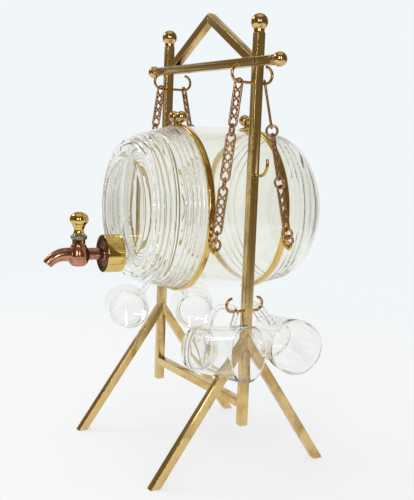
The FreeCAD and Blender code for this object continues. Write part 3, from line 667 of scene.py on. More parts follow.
def standing_balls(node, ways, neck_mm):
    """A ball for each solid of a node, standing along its own direction."""
    made = []
    for points, way in zip(parts_of(node), ways):
        way = Vector(way)
        cross = Vector((0, 0, 1)) if abs(way.z) < 0.9 else Vector((0, 1, 0))
        side = cross.cross(way)
        along, wide, other = (points @ np.array(v) for v in (way, cross, side))
        diameter, length = (wide.max() - wide.min()) / MM, (along.max() - along.min()) / MM
        foot = way * along.min()
        foot += cross * (wide.max() + wide.min()) / 2 + side * (other.max() + other.min()) / 2
        ball = turned(ball_outline(diameter, length, neck_mm), ball_brass)
        made.append(moved(ball, place_matrix(foot, cross, way.cross(cross), way)))
    return joined(made, node)


across = Vector(frame["joints"][0]["axis"]).normalized()
along_barrel = Vector((0, 0, 1)).cross(across).normalized()
FINIAL_NECK, NUT_SEAT = 9.6, 5.5
glass_points = np.concatenate(parts_of("barrel")) @ np.array(across)
middle_across = (glass_points.min() + glass_points.max()) / 2
nut_ways = [
    across if Vector(points.mean(0)).dot(across) > middle_across else -across
    for points in parts_of("clamp_nuts")
]
for node, ways, neck_mm in (
    ("post_finials", [(0, 0, 1)] * 2, FINIAL_NECK),
    ("crossbar_finials", [(-1, 0, 0), (1, 0, 0)], FINIAL_NECK),
    ("clamp_nuts", nut_ways, NUT_SEAT),
):
    add_piece(node, standing_balls(node, ways, neck_mm))
print("balls", 4, "nuts", len(nut_ways))

# %% [markdown]
# ## Chains
#
# A link is a flat casting: an oval rail round a lattice of two strands that cross and cross again,
# with a plain eye left free at each end for the ring. Sand casting rounds every edge. The tree
# sweeps a round section along the oval, and along two cosine curves that run from rail to rail.
# Links of one length are made once and set in the twelve places of the frame. The jump rings are
# bent from wire, and a second tree sets one on each point, facing the way that the point says.

# %% The lattice link
STRAND_STEPS = 10  # points from one crossing of the strands to the next
link_tree, given = new_tree(
    "lattice_link",
    [
        ("Length", "Float", 0.0417),
        ("Width", "Float", 0.0074),
        ("Rail", "Float", 0.0018),
        ("Thickness", "Float", 0.002),
        ("Strand", "Float", 0.001),
        ("Lattice", "Float", 0.0304),
        ("Crossings", "Int", 4),
        ("Finish", "Material", None),
    ],
)
rail_section = circle(link_tree, 10, given["Rail"])
strand_section = circle(link_tree, 8, given["Strand"])
oval = add_node(
    link_tree,
    "GeometryNodeCurvePrimitiveQuadrilateral",
    {"Width": given["Width"], "Height": given["Length"]},
)
corner = calc(link_tree, "MULTIPLY", given["Width"], 0.499)
rounded_oval = add_node(
    link_tree,
    "GeometryNodeFilletCurve",
    {"Curve": oval, "Count": 9, "Radius": corner, "Limit Radius": True},
    mode="POLY",
)
rail = add_node(
    link_tree, "GeometryNodeCurveToMesh", {"Curve": rounded_oval, "Profile Curve": rail_section}
)
steps = calc(link_tree, "MULTIPLY", given["Crossings"], STRAND_STEPS)
count = calc(link_tree, "ADD", steps, 1.0)
spacing = calc(link_tree, "DIVIDE", given["Lattice"], steps)
start = calc(link_tree, "MULTIPLY", given["Lattice"], -0.5)
line_start = add_node(link_tree, "ShaderNodeCombineXYZ", {"Y": start})
line_step = add_node(link_tree, "ShaderNodeCombineXYZ", {"Y": spacing})
straight = add_node(
    link_tree,
    "GeometryNodeMeshLine",
    {"Count": count, "Start Location": line_start, "Offset": line_step},
)
on_strand = add_node(link_tree, "GeometryNodeInputIndex")
phase = calc(link_tree, "MULTIPLY", on_strand, math.pi / STRAND_STEPS)
wave = calc(link_tree, "COSINE", phase)
room = calc(link_tree, "SUBTRACT", given["Width"], given["Rail"])
# Two strands that mirror each other, with the rail.
link_parts = add_node(link_tree, "GeometryNodeJoinGeometry", {0: rail})
for side in (0.5, -0.5):
    reach = calc(link_tree, "MULTIPLY", room, side)
    sway = calc(link_tree, "MULTIPLY", wave, reach)
    sideways = add_node(link_tree, "ShaderNodeCombineXYZ", {"X": sway})
    waved = add_node(
        link_tree, "GeometryNodeSetPosition", {"Geometry": straight, "Offset": sideways}
    )
    strand_curve = add_node(link_tree, "GeometryNodeMeshToCurve", {"Mesh": waved})
    strand = add_node(
        link_tree,
        "GeometryNodeCurveToMesh",
        {"Curve": strand_curve, "Profile Curve": strand_section, "Fill Caps": True},
    )
    link_tree.links.new(strand.outputs["Mesh"], link_parts.inputs[0])
flatness = calc(link_tree, "DIVIDE", given["Thickness"], given["Rail"])
flat_scale = add_node(link_tree, "ShaderNodeCombineXYZ", {"X": 1.0, "Y": 1.0, "Z": flatness})
flat_link = add_node(
    link_tree, "GeometryNodeTransform", {"Geometry": link_parts, "Scale": flat_scale}
)
end_tree(link_tree, given, smoothed(link_tree, flat_link, math.radians(60)))
print("nodes in the link's tree", len(link_tree.nodes))

# %% The twelve links
LINK_RAIL, LINK_EYE, LINK_STRAND, LINK_THICK = 2.0, 4.75, 1.6, 2.3
link_nodes = sorted(n for n in nodes if "_link_" in n)
sizes = spread_frame(parts_of(link_nodes[0])[0])[2]
link_values = {
    "Length": sizes[2] - LINK_RAIL * MM,
    "Width": sizes[1] - LINK_RAIL * MM,
    "Rail": LINK_RAIL * MM,
    "Thickness": LINK_THICK * MM,
    "Strand": LINK_STRAND * MM,
    "Lattice": sizes[2] - 2 * (LINK_RAIL + LINK_EYE) * MM,
    "Crossings": 4,
    "Finish": cast_brass,
}
link_mesh = outward(grow(path_mesh([(0, 0, 0)]), link_tree, link_values))
for node in link_nodes:
    centre, ways, _ = spread_frame(parts_of(node)[0])
    at = place_matrix(centre, ways[:, 1], ways[:, 2], ways[:, 0])
    add_piece(node, moved(link_mesh, at))
print("links", len(link_nodes), "faces in one", len(link_mesh.polygons))

# %% The jump rings
ring_tree, given = new_tree(
    "jump_rings",
    [("Diameter", "Float", 0.0097), ("Wire", "Float", 0.0023), ("Finish", "Material", None)],
)
ring_line = circle(ring_tree, 40, given["Diameter"])
ring_section = circle(ring_tree, 14, given["Wire"])
one_ring = add_node(
    ring_tree, "GeometryNodeCurveToMesh", {"Curve": ring_line, "Profile Curve": ring_section}
)
facing = add_node(
    ring_tree, "GeometryNodeInputNamedAttribute", {"Name": "facing"}, data_type="FLOAT_VECTOR"
)
turn_to = add_node(
    ring_tree, "FunctionNodeAlignRotationToVector", {"Vector": facing}, axis="Z"
)
ring_set = add_node(
    ring_tree,
    "GeometryNodeInstanceOnPoints",
    {
        "Points": given["Geometry"],
        "Instance": smoothed(ring_tree, one_ring, math.radians(60)).outputs[0],
        "Rotation": turn_to,
    },
)
end_tree(ring_tree, given, ring_set)

RING_WIRE = 2.3
for node in sorted(n for n in nodes if n.endswith("_rings")):
    found = [spread_frame(points) for points in parts_of(node)]
    seats = path_mesh([centre for centre, _, _ in found])
    layer = seats.attributes.new("facing", "FLOAT_VECTOR", "POINT")
    layer.data.foreach_set("vector", [float(c) for _, ways, _ in found for c in ways[:, 0]])
    across_ring = found[0][2][2] - RING_WIRE * MM
    ring_values = {"Diameter": across_ring, "Wire": RING_WIRE * MM, "Finish": cast_brass}
    add_piece(node, outward(grow(seats, ring_tree, ring_values)))
print("ring across the middle of its wire", round(across_ring / MM, 2), "mm")

# %% [markdown]
# ## Hooks
#
# Every hook is a piece of brass wire bent over a round former. Those of the chains and the mugs
# go through a post and curl up on both sides. The single hook on the right post curls up once. The
# ends are filed round. The sizes of the bends come from the boxes of the CAD pieces.

# %% Bent hooks
HOOK_WIRE, CURL_STEPS = 2.6, 18
SIDE_HOOK_TURN = 112  # degrees that the single hook curls up


def curl(middle, radius, start, end, side):
    """Points round a former, in a plane upright along Y (side 1) or along X (side 0)."""
    points = []
    for k in range(CURL_STEPS + 1):
        a = math.radians(start + (end - start) * k / CURL_STEPS)
        point = Vector(middle)
        point[side] += radius * math.cos(a)
        point.z += radius * math.sin(a)
        points.append(point)
    return points


def double_hook(points):
    """Wire with a half-turn curl at both ends, as wide and high as the CAD piece."""
    low, high = Vector(points.min(0)), Vector(points.max(0))
    wire_half = HOOK_WIRE * MM / 2
    radius = (high.z - low.z) / 2 - wire_half
    middle = (low + high) / 2
    front = Vector((middle.x, low.y + wire_half + radius, middle.z))
    rear = Vector((middle.x, high.y - wire_half - radius, middle.z))
    path = curl(front, radius, 90, 270, 1) + curl(rear, radius, -90, 90, 1)
    path, thick = round_tips(path, HOOK_WIRE * MM)
    return wire(path, HOOK_WIRE, hook_brass, thickness=thick)


for node in ("chain_hooks", "mug_hooks"):
    add_piece(node, joined([double_hook(points) for points in parts_of(node)], node))
low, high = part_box("side_hook")
wire_half = HOOK_WIRE * MM / 2
over = math.sin(math.radians(SIDE_HOOK_TURN - 90))
side_radius = (high.z - low.z - wire_half * (1 + over)) / (1 + over)
side_middle = Vector(
    (high.x - wire_half - side_radius, (low.y + high.y) / 2, low.z + wire_half + side_radius)
)
side_path = [Vector((low.x, side_middle.y, low.z + wire_half))]
side_path += curl(side_middle, side_radius, -90, SIDE_HOOK_TURN - 90, 0)
side_path, side_thick = round_tips(side_path, HOOK_WIRE * MM)
add_piece("side_hook", wire(side_path, HOOK_WIRE, hook_brass, thickness=side_thick))
print("the single hook is bent to a radius of", round(side_radius / MM, 1), "mm")

# %% [markdown]
# ## Cap, washer and key
#
# The cap is a turned brass cup that screws over the neck. Its face is recessed and was never
# polished, and a pocket in the recess takes the flange of the tap. The key of the tap is a tapered
# plug with a collar, a tin ring, a waist and a round handle, all turned in one. Everything here is
# placed by the axis of the barrel's neck. Heights are measured from the key's axis or from the
# cap's rim, in millimetres.

# %% Cap and washer
# The width of the rim, and the depths of the recess, the flange's pocket and the washer's seat.
RIM, RECESS, POCKET, SEAT = 1.3, 1.1, 3.1, 6.0
TAIL, SKIRT, WASHER_RADIUS = 5.7, 12.6, 12.25  # radii: tail pipe, inside of the cap, washer
FLANGE, FLANGE_THICK = 24.0, 2.0
key_axis = Vector(next(j for j in frame["joints"] if j["child"] == "key")["pos_m"])


def along_neck(node):
    """Lowest and highest point of a node along the barrel, from the key, in millimetres."""
    points = np.concatenate(parts_of(node)) @ np.array(along_barrel)
    return [(end - key_axis.dot(along_barrel)) / MM for end in (points.min(), points.max())]


def on_neck(mesh, start_mm):
    """Sets a turned piece on the neck's axis, so that it stands up towards the barrel."""
    foot = key_axis + along_barrel * start_mm * MM
    return moved(mesh, place_matrix(foot, across, Vector((0, 0, -1)), along_barrel))


cap_start, cap_stop = along_neck("cap")
cap_length = cap_stop - cap_start
cap_radius = (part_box("cap")[1].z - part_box("cap")[0].z) / 2 / MM
face_radius = cap_radius - RIM
cap_outline = [(TAIL, POCKET), (FLANGE / 2 + 0.1, POCKET), (FLANGE / 2 + 0.1, RECESS)]
cap_outline += [(face_radius - 0.4, RECESS), (face_radius - 0.1, RECESS - 0.2)]
cap_outline += [(face_radius, 0.4), (face_radius + 0.4, 0)]
cap_outline += arc((cap_radius - 0.9, 0.9), 0.9, -90, 0, 6)
cap_outline += [(cap_radius, cap_length - 2.6), (cap_radius - 0.35, cap_length - 2.3)]
cap_outline += [(cap_radius - 0.35, cap_length - 1.9), (cap_radius, cap_length - 1.6)]
cap_outline += arc((cap_radius - 0.7, cap_length - 0.7), 0.7, 0, 90, 5)
cap_outline += [(SKIRT, cap_length), (SKIRT, SEAT), (TAIL, SEAT), (TAIL, POCKET)]
cap_mesh = turned(cap_outline, polished_brass, 128)
cap_mesh.materials.append(dark_brass)
for face in cap_mesh.polygons:
    middle_radius = math.hypot(face.center.x, face.center.y) / MM
    if middle_radius < cap_radius - 0.4 and face.center.z < (POCKET + 0.1) * MM:
        face.material_index = len(cap_mesh.materials) - 1
add_piece("cap", on_neck(cap_mesh, cap_start))
washer_start, washer_stop = along_neck("neck_washer")
thick = washer_stop - washer_start
washer = [(TAIL, 0), (WASHER_RADIUS, 0), (WASHER_RADIUS, thick), (TAIL, thick), (TAIL, 0)]
add_piece("neck_washer", on_neck(turned(washer, washer_leather), washer_start))
print("cap", round(cap_length, 2), "mm long and", round(2 * cap_radius, 2), "mm across")

# %% Key
PLUG_FOOT, PLUG_POINT, PLUG_TOP, HOUSING_TOP = -6.9, 8.0, 9.6, 9.0
PLUG_COLLAR, PLUG_COLLAR_TOP, TIN_TOP, TIN_RING = 12.0, 13.3, 17.8, 15.0
WAIST, WAIST_START, WAIST_LENGTH, WAIST_STEPS = 9.0, TIN_TOP + 0.8, 7.2, 12
HANDLE, HANDLE_HALF, HANDLE_MIDDLE = 17.2, 7.0, 31.7
key_outline = [(0, PLUG_FOOT), (PLUG_POINT / 2, PLUG_FOOT), (PLUG_TOP / 2, HOUSING_TOP)]
key_outline += [(PLUG_TOP / 2, HOUSING_TOP + 0.3)]
key_outline += [(PLUG_COLLAR / 2 - 0.3, HOUSING_TOP + 0.3), (PLUG_COLLAR / 2, HOUSING_TOP + 0.6)]
key_outline += [(PLUG_COLLAR / 2, PLUG_COLLAR_TOP - 0.3), (PLUG_COLLAR / 2 - 0.3, PLUG_COLLAR_TOP)]
key_outline += [(PLUG_TOP / 2 - 0.4, PLUG_COLLAR_TOP), (PLUG_TOP / 2 - 0.4, TIN_TOP)]
key_outline += [(WAIST / 2 + 1.3, TIN_TOP), (WAIST / 2 + 1.3, TIN_TOP + 0.6)]
for step in range(WAIST_STEPS + 1):
    share = step / WAIST_STEPS
    flare = 1.2 * (2 * share - 0.9) ** 2
    key_outline.append((WAIST / 2 + flare, WAIST_START + WAIST_LENGTH * share))
ball_start = -math.degrees(math.acos((key_outline[-1][0] + 0.2) * 2 / HANDLE))
for r, h in arc((0, 0), 1, ball_start, 90, 30):
    key_outline.append((r * HANDLE / 2, HANDLE_MIDDLE + h * HANDLE_HALF))
key_place = place_matrix(key_axis, across, along_barrel, Vector((0, 0, 1)))
add_piece("tap_key", moved(turned(key_outline, polished_brass), key_place))
ring_inner, ring_outer = PLUG_TOP / 2 - 0.3, TIN_RING / 2
ring_outline = [(ring_inner, PLUG_COLLAR_TOP), (ring_outer - 1.2, PLUG_COLLAR_TOP)]
ring_outline += [(ring_outer - 0.2, PLUG_COLLAR_TOP + 1.0), (ring_outer, PLUG_COLLAR_TOP + 1.4)]
ring_outline += [(ring_outer, TIN_TOP - 1.2), (ring_outer - 0.3, TIN_TOP - 0.8)]
ring_outline += [(ring_outer - 1.4, TIN_TOP), (ring_inner, TIN_TOP), (ring_inner, PLUG_COLLAR_TOP)]
add_piece("tin_ring", moved(turned(ring_outline, tin_plate), key_place))
print("the key's outline has", len(key_outline), "points")

# %% [markdown]
# ## Tap
#
# The tap's body is one casting of red brass: a flange, a tail pipe, an upright housing for the key
# that bulges like a small barrel, and a spout that bends down and grows thinner. A casting has soft
# fillets where its parts meet. The parts are made as overlapping solids, a voxel remesh melts them
# into one skin, and a light smoothing rounds the corners. The bore of the spout is cut first, so
# that its mouth stays open. The flange lies deep in the cap's recess, and its faces get a darker,
# duller copy of the brass, with the shade of the recess painted in.

# %% The tap's parts
SPOUT_RUN, SPOUT_BEND, SPOUT_TURN, SPOUT_STEPS = 12.5, 20.0, 55, 12
SPOUT_THICK, SPOUT_THIN, WATERWAY = 13.0, 9.2, 5.8
FLANGE_BACK = 3.0  # depth of the flange's back under the cap's rim
BULGE = [(0, -11), (3.6, -11), (6.2, -10.2), (8.4, -8), (9.7, -4.5), (10.1, -1), (9.8, 2)]
BULGE += [(8.9, 4.6), (7.6, 6.6), (6.9, 7.6), (6.9, 8.4), (6.5, HOUSING_TOP), (0, HOUSING_TOP)]


def neck_point(forward, height):
    """A point in the upright plane of the tap, from the key's axis, in millimetres."""
    return key_axis - along_barrel * forward * MM + Vector((0, 0, height * MM))


spout_points = [neck_point(2, 0), neck_point(SPOUT_RUN * 0.6, 0), neck_point(SPOUT_RUN, 0)]
for k in range(1, SPOUT_STEPS + 1):
    a = math.radians(SPOUT_TURN * k / SPOUT_STEPS)
    forward = SPOUT_RUN + SPOUT_BEND * math.sin(a)
    spout_points.append(neck_point(forward, -SPOUT_BEND * (1 - math.cos(a))))
last = len(spout_points) - 1
taper = [1 + (SPOUT_THIN / SPOUT_THICK - 1) * k / last for k in range(last + 1)]
spout = wire(spout_points, SPOUT_THICK, tap_brass, thickness=taper, sides=32)
beyond = spout_points[-1] + (spout_points[-1] - spout_points[-2])
spout_bore = wire(spout_points[2:] + [beyond], WATERWAY, tap_brass, sides=24)
tail_path = [neck_point(0, 0), neck_point(-along_neck("tap_body")[1], 0)]
tail = wire(tail_path, 2 * (TAIL - 0.1), tap_brass, sides=32)
house = moved(turned(BULGE, tap_brass), key_place)
flange_outline = [(0, 0), (FLANGE / 2 - 0.6, 0), (FLANGE / 2, 0.6)]
flange_outline += [(FLANGE / 2, FLANGE_THICK), (0, FLANGE_THICK)]
flange_start = cap_start + FLANGE_BACK - FLANGE_THICK
flange = on_neck(turned(flange_outline, tap_brass), flange_start)
print("the spout's line has", len(spout_points), "points")

# %% The tap's casting
VOXEL = 0.3


def cut_or_joined(mesh, tool, operation):
    """The mesh after an exact boolean with another one."""
    body, cutter = in_scene("body", mesh), in_scene("cutter", tool)
    modifier = body.modifiers.new("boolean", "BOOLEAN")
    modifier.operation = operation
    modifier.solver = "EXACT"
    modifier.object = cutter
    result = plain_mesh(body)
    bpy.data.objects.remove(cutter)
    return result


casting = house
for part in (spout, tail, flange):
    casting = cut_or_joined(casting, part, "UNION")
casting = cut_or_joined(casting, spout_bore, "DIFFERENCE")
melted = in_scene("casting", casting)
remesh = melted.modifiers.new("melted", "REMESH")
remesh.mode = "VOXEL"
remesh.voxel_size = VOXEL * MM
remesh.use_smooth_shade = True
soften = melted.modifiers.new("softened", "SMOOTH")
soften.factor = 0.5
soften.iterations = 6
casting = plain_mesh(melted)
casting.materials.clear()
casting.materials.append(tap_brass)
casting.materials.append(recess_shade_red_brass)
# Painted shade: the flange's faces, deep in the cap's recess, get the darker copy of the brass.
for face in casting.polygons:
    off_key = face.center - key_axis
    along = off_key.dot(along_barrel)
    off_axis = (off_key - along_barrel * along).length
    if along > (flange_start - 0.5) * MM and off_axis > (TAIL + 0.6) * MM:
        face.material_index = 1
add_piece("tap_body", casting)
print("tap casting faces", len(casting.polygons))

# %% [markdown]
# ## Glass barrel
#
# The barrel was pressed and blown in a mould that stands on end, so everything on it is round
# about one axis: a recessed flat in front, a rolled rim, three groups of moulded rings, two plain
# seats for the hoops and a rounded back. The wall is even inside. The outline is written as runs of
# arcs from valley to valley, and the same turned tree swings it. The neck is joined on and bored
# with exact booleans, because glass has to be one closed skin for light to bend in it correctly.

# %% The barrel's outline
BARREL_LENGTH, WALL, PANEL, PANEL_RECESS = 183.5, 4.5, 95.0, 1.2
RING_RISE, RING_STEPS = 0.8, 8  # height of a moulded ring, and outline points on each
BACK_FLAT, HOOP_GAP, HOOP_THICKNESS = 102.0, 0.3, 2.2
NECK, NECK_BORE = 24.5, 17.0
barrel_points = np.concatenate(parts_of("barrel"))
barrel_height = (barrel_points[:, 2].min() + barrel_points[:, 2].max()) / 2
belly = (barrel_points[:, 2].max() - barrel_points[:, 2].min()) / 2 / MM
stations = (barrel_points @ np.array(along_barrel)) / MM
neck_end, back_end = stations.min(), stations.max()


def band(node):
    """Start and end of a hoop's band along the barrel, in millimetres."""
    points = np.concatenate(parts_of(node)) @ np.array(along_barrel) / MM
    return points.min(), points.max()


front_band, back_band = band("hoop_front"), band("hoop_back")
hoop_radius = (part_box("hoop_front")[0].z - barrel_height) / -MM
seat = hoop_radius - HOOP_THICKNESS - HOOP_GAP
front = back_end - BARREL_LENGTH


def rings(start, start_radius, end, end_radius, count):
    """Moulded rings along a line: each rises as an arc from one valley to the next."""
    points = []
    for k in range(count):
        for j in range(1, RING_STEPS + 1):
            share = (k + j / RING_STEPS) / count
            rise = RING_RISE * math.sin(math.pi * j / RING_STEPS)
            radius = start_radius + (end_radius - start_radius) * share + rise
            points.append((radius, start + (end - start) * share))
    return points


def bow(a, b, bulge, steps=10):
    """A shallow curve between two outline points that stands out by a bulge in the middle."""
    points = []
    for k in range(1, steps + 1):
        t = k / steps
        radius = a[0] + (b[0] - a[0]) * t + bulge * 4 * t * (1 - t)
        points.append((radius, a[1] + (b[1] - a[1]) * t))
    return points


rim, waist, shoulder = belly - 14, belly - 7.5, belly - 6.5
f0, f1 = front_band[0] - HOOP_GAP, front_band[1] + HOOP_GAP
b0, b1 = back_band[0] - HOOP_GAP, back_band[1] + HOOP_GAP
# The flat in front, its step up to the rolled rim, and the rim.
outer = [(0, front + PANEL_RECESS), (PANEL / 2 - 2.2, front + PANEL_RECESS)]
outer += bow(outer[-1], (PANEL / 2 - 0.4, front + 0.15), -0.25, 5) + [(PANEL / 2 + 0.6, front)]
outer += bow((PANEL / 2 + 0.6, front), (PANEL / 2 + 6.5, front), 0.0, 3)
outer += bow((PANEL / 2 + 6.5, front), (rim, front + 6), 2.4, 10)
# Three rings, a hollow, and five rings up to the front hoop.
outer += rings(front + 6, rim, front + 19.5, waist, 3)
outer += bow(outer[-1], (waist + 0.5, front + 28), -0.5, 8) + [(shoulder + 1, front + 29.5)]
outer += rings(front + 29.5, shoulder + 1, f0 - 0.5, belly - 1.3, 5)
# The front hoop's seat, the plain belly and the back hoop's seat.
outer += [(belly - 1.3, f0 - 0.1), (seat + 0.2, f0), (seat, f0 + 0.2)]
outer += [(seat, f1 - 0.2), (seat + 0.2, f1), (belly - 0.8, f1 + 0.1)]
outer += bow((belly - 0.8, f1 + 0.1), (belly - 0.8, b0 - 0.1), 0.8, 16)
outer += [(seat + 0.2, b0), (seat, b0 + 0.2), (seat, b1 - 0.2), (seat + 0.2, b1)]
# Five rings down to the rounded back.
outer += [(belly - 1.3, b1 + 0.1), (belly - 1.3, b1 + 0.5)]
outer += rings(b1 + 0.5, belly - 1.3, back_end - 20, belly - 6.5, 5)
outer += bow((belly - 6.5, back_end - 20), (BACK_FLAT / 2, back_end), 3.4, 16) + [(0, back_end)]
# The inside follows a wall's thickness away, without the rings.
inner_front = front + PANEL_RECESS + WALL
inner = [(0, inner_front), (PANEL / 2 - 2, inner_front)]
inner += bow(inner[-1], (rim - 2, front + 17), 3.5, 14)
inner += bow(inner[-1], (shoulder - WALL + 1, front + 29.5), 0.6, 8)
inner += bow(inner[-1], (seat - WALL, f0), 0.6, 10)
inner += bow((seat - WALL, f0), (seat - WALL, b1), 0.0, 6)
inner += bow((seat - WALL, b1), (belly - WALL - 6.5, back_end - 21), 0.8, 12)
inner += bow(inner[-1], (BACK_FLAT / 2 - 3, back_end - WALL), 3.4, 14) + [(0, back_end - WALL)]
print("outline points", len(outer), "outside and", len(inner), "inside")

# %% The barrel's glass
BARREL_SEGMENTS, NECK_SEGMENTS, GLASS_SHARP = 160, 72, 25
barrel_axis = across * middle_across + Vector((0, 0, barrel_height))
barrel_place = place_matrix(barrel_axis, across, Vector((0, 0, -1)), along_barrel)
outside = turned(outer, barrel_glass, BARREL_SEGMENTS, GLASS_SHARP)
hollow = turned(inner, barrel_glass, BARREL_SEGMENTS, GLASS_SHARP)
neck_spot = Matrix.Translation((0, barrel_height - key_axis.z, 0))
neck_rings = [(0, neck_end), (NECK / 2 - 0.8, neck_end), (NECK / 2, neck_end + 0.8)]
neck_rings += [(NECK / 2, front + 2.5), (0, front + 2.5)]
bore_outline = [(0, neck_end - 1), (NECK_BORE / 2, neck_end - 1), (NECK_BORE / 2, inner_front + 2)]
bore_outline += [(0, inner_front + 2)]
neck_solid = moved(turned(neck_rings, barrel_glass, NECK_SEGMENTS), neck_spot)
bore = moved(turned(bore_outline, barrel_glass, NECK_SEGMENTS), neck_spot)
barrel_mesh = cut_or_joined(outside, neck_solid, "UNION")
barrel_mesh = cut_or_joined(barrel_mesh, hollow, "DIFFERENCE")
barrel_mesh = cut_or_joined(barrel_mesh, bore, "DIFFERENCE")
barrel_mesh.set_sharp_from_angle(angle=math.radians(GLASS_SHARP))
barrel_mesh.transform(barrel_place)
add_piece("barrel", outward(barrel_mesh))
print("barrel triangles", sum(len(f.vertices) - 2 for f in barrel_mesh.polygons))

# %% [markdown]
# ## Glass mugs
#
# A mug is a blown cup with a heavy base. Its handle is a rod of hot glass, pressed on, pulled into
# a loop and pressed on again, so it is a little thicker at both feet. One mug is made on its own
# axis, the handle is joined to the wall with an exact boolean, and copies go to the four places.
# The hinge of each mug gives the direction of its axis, and the handle's outermost points say
# which way up it hangs.

# %% One mug
MUG_BASE, MUG_MOUTH, MUG_WALL, MUG_FLOOR, MUG_LIP = 40.0, 49.2, 2.4, 8.0, 0.55
MUG_SPARE = 0.12  # keeps the tilted mouth inside the CAD piece's box
AT_END = 0.02 * MM  # points this near to the outermost one belong to the same end
HANDLE_BAR, HANDLE_START, HANDLE_SPAN, HANDLE_BEND, HANDLE_RISE = 5.0, 5.5, 30.5, 8.0, 22.4


def mug_frame(node):
    """Base middle, direction of the handle, direction of the mouth and length of a mug."""
    hinge = next(j for j in frame["joints"] if j["child"] == body_of_node[node])
    points = np.concatenate(parts_of(node))
    mouth = Vector(hinge["axis"]).normalized()
    if mouth.x * (points.mean(0)[0] - stand_middle.x) < 0:
        mouth = -mouth
    heights = points @ np.array(mouth)
    at_base = points[heights < heights.min() + AT_END]
    base = Vector((at_base.min(0) + at_base.max(0)) / 2)
    flat = points - np.outer(heights, np.array(mouth))
    reach = flat - np.array(base - mouth * base.dot(mouth))
    far = np.linalg.norm(reach, axis=1)
    outermost = reach[far > far.max() - AT_END].mean(0)
    return base, Vector(outermost).normalized(), mouth, heights.max() - heights.min()


mug_nodes = ["mug_right_front", "mug_right_back", "mug_left_front", "mug_left_back"]
mug_length = mug_frame(mug_nodes[0])[3] / MM - MUG_SPARE
base_radius, mouth_radius = MUG_BASE / 2, MUG_MOUTH / 2
# The heavy base, the side, the rolled lip and the inside.
cup = [(0, 0.9), (base_radius - 4, 0.7), (base_radius - 2.6, 0), (base_radius - 1.5, 0)]
cup += arc((base_radius - 1.5, 1.5), 1.5, -90, 0, 6)
cup += [(mouth_radius - 0.05, mug_length - 3)]
cup += arc((mouth_radius - MUG_LIP, mug_length - MUG_LIP), MUG_LIP, 0, 180, 10)
cup += [(mouth_radius - 2 * MUG_LIP - 0.1, mug_length - 12)]
inside_base = base_radius - MUG_WALL + 0.6
cup += [(inside_base, MUG_FLOOR + 4)]
cup += arc((inside_base - 3.4, MUG_FLOOR + 3.6), 3.4, 0, -90, 8) + [(0, MUG_FLOOR - 0.6)]
# The line of the handle, from foot to foot, and how far each foot is pressed out.
rod = HANDLE_BAR / 2
slope = (mouth_radius - base_radius) / mug_length
low_z, high_z = HANDLE_START + rod, HANDLE_START + HANDLE_SPAN - rod
handle_x = base_radius + slope * (low_z + high_z) / 2 + HANDLE_RISE - rod
foot_low = base_radius + slope * low_z - MUG_WALL / 2
foot_high = base_radius + slope * high_z - MUG_WALL / 2
loop = [(foot_low, low_z), (foot_low + 1.5, low_z), (foot_low + 3.5, low_z)]
loop += arc((handle_x - HANDLE_BEND, low_z + HANDLE_BEND), HANDLE_BEND, -90, 0, 10)
loop += arc((handle_x - HANDLE_BEND, high_z - HANDLE_BEND), HANDLE_BEND, 0, 90, 10)
loop += [(foot_high + 3.5, high_z), (foot_high + 1.5, high_z), (foot_high, high_z)]
press = [1.3, 1.16, 1.04] + [1.0] * (len(loop) - 6) + [1.04, 1.16, 1.3]
loop_points = [Vector((x * MM, 0, z * MM)) for x, z in loop]
handle = wire(loop_points, HANDLE_BAR, mug_glass, thickness=press, sides=24)
mug_mesh = cut_or_joined(turned(cup, mug_glass, 112), handle, "UNION")
mug_mesh.set_sharp_from_angle(angle=math.radians(40))
outward(mug_mesh)
for node in mug_nodes:
    base, handle_way, mouth, _ = mug_frame(node)
    at = place_matrix(base, handle_way, mouth.cross(handle_way), mouth)
    add_piece(node, moved(mug_mesh, at))
print("mug faces", len(mug_mesh.polygons), "length", round(mug_length, 2), "mm")

# %% [markdown]
# ## Floor, light and camera
#
# The object stands on a pale table in a light tent. The table fades away at its far edge, so there
# is no horizon. A haze that only the camera, metal and glass see lifts it to near white. The haze
# lights nothing, so the object keeps its shadow.
#
# Metal and glass show what stands round them, and each gets surroundings of its own. The brass
# mirrors the bright table below, dim walls at the sides, a pale wall behind the stand, the dark
# room in front of it and a ceiling, and so every bar has its light and dark faces. The glass bends
# the light of a white tent that is a little darker on one side, with four narrow grey gaps between
# its walls and a grey doorway. The gaps draw the thin dark lines along the edges and the moulded
# rings of the glass.

# %% Floor
TABLE_TOP, BACKGROUND, HAZE, LIFT = "#f9fbff", "#f1f6f8", "#fdfeff", 0.6
TABLE_REACH, TABLE_FADE = 1.1, 0.7
bpy.ops.mesh.primitive_circle_add(vertices=128, radius=TABLE_REACH, fill_type="NGON")
floor = bpy.context.object
floor.name = "floor"
floor_paint, floor_tree = new_material("matt_white_board")
floor_place = add_node(floor_tree, "ShaderNodeTexCoord").outputs["Object"]
floor_reach = add_node(
    floor_tree, "ShaderNodeVectorMath", {"Vector": floor_place}, operation="LENGTH"
)
floor_fade = add_node(
    floor_tree,
    "ShaderNodeMapRange",
    {"Value": floor_reach, "From Min": TABLE_REACH - TABLE_FADE, "From Max": TABLE_REACH},
    interpolation_type="SMOOTHSTEP",
)
board = add_node(
    floor_tree,
    "ShaderNodeBsdfPrincipled",
    {"Base Color": linear(TABLE_TOP), "Roughness": 0.9, "Specular IOR Level": 0.1},
)
rays = add_node(floor_tree, "ShaderNodeLightPath").outputs
seen = rays["Is Camera Ray"]
for kind in ("Is Transmission Ray", "Is Glossy Ray"):
    seen = calc(floor_tree, "MAXIMUM", seen, rays[kind])
lift = calc(floor_tree, "MULTIPLY", seen, LIFT)
haze = add_node(floor_tree, "ShaderNodeEmission", {"Color": linear(HAZE), "Strength": 1.0})
lit = add_node(floor_tree, "ShaderNodeMixShader", {"Fac": lift, 1: board, 2: haze})
nothing = add_node(floor_tree, "ShaderNodeBsdfTransparent")
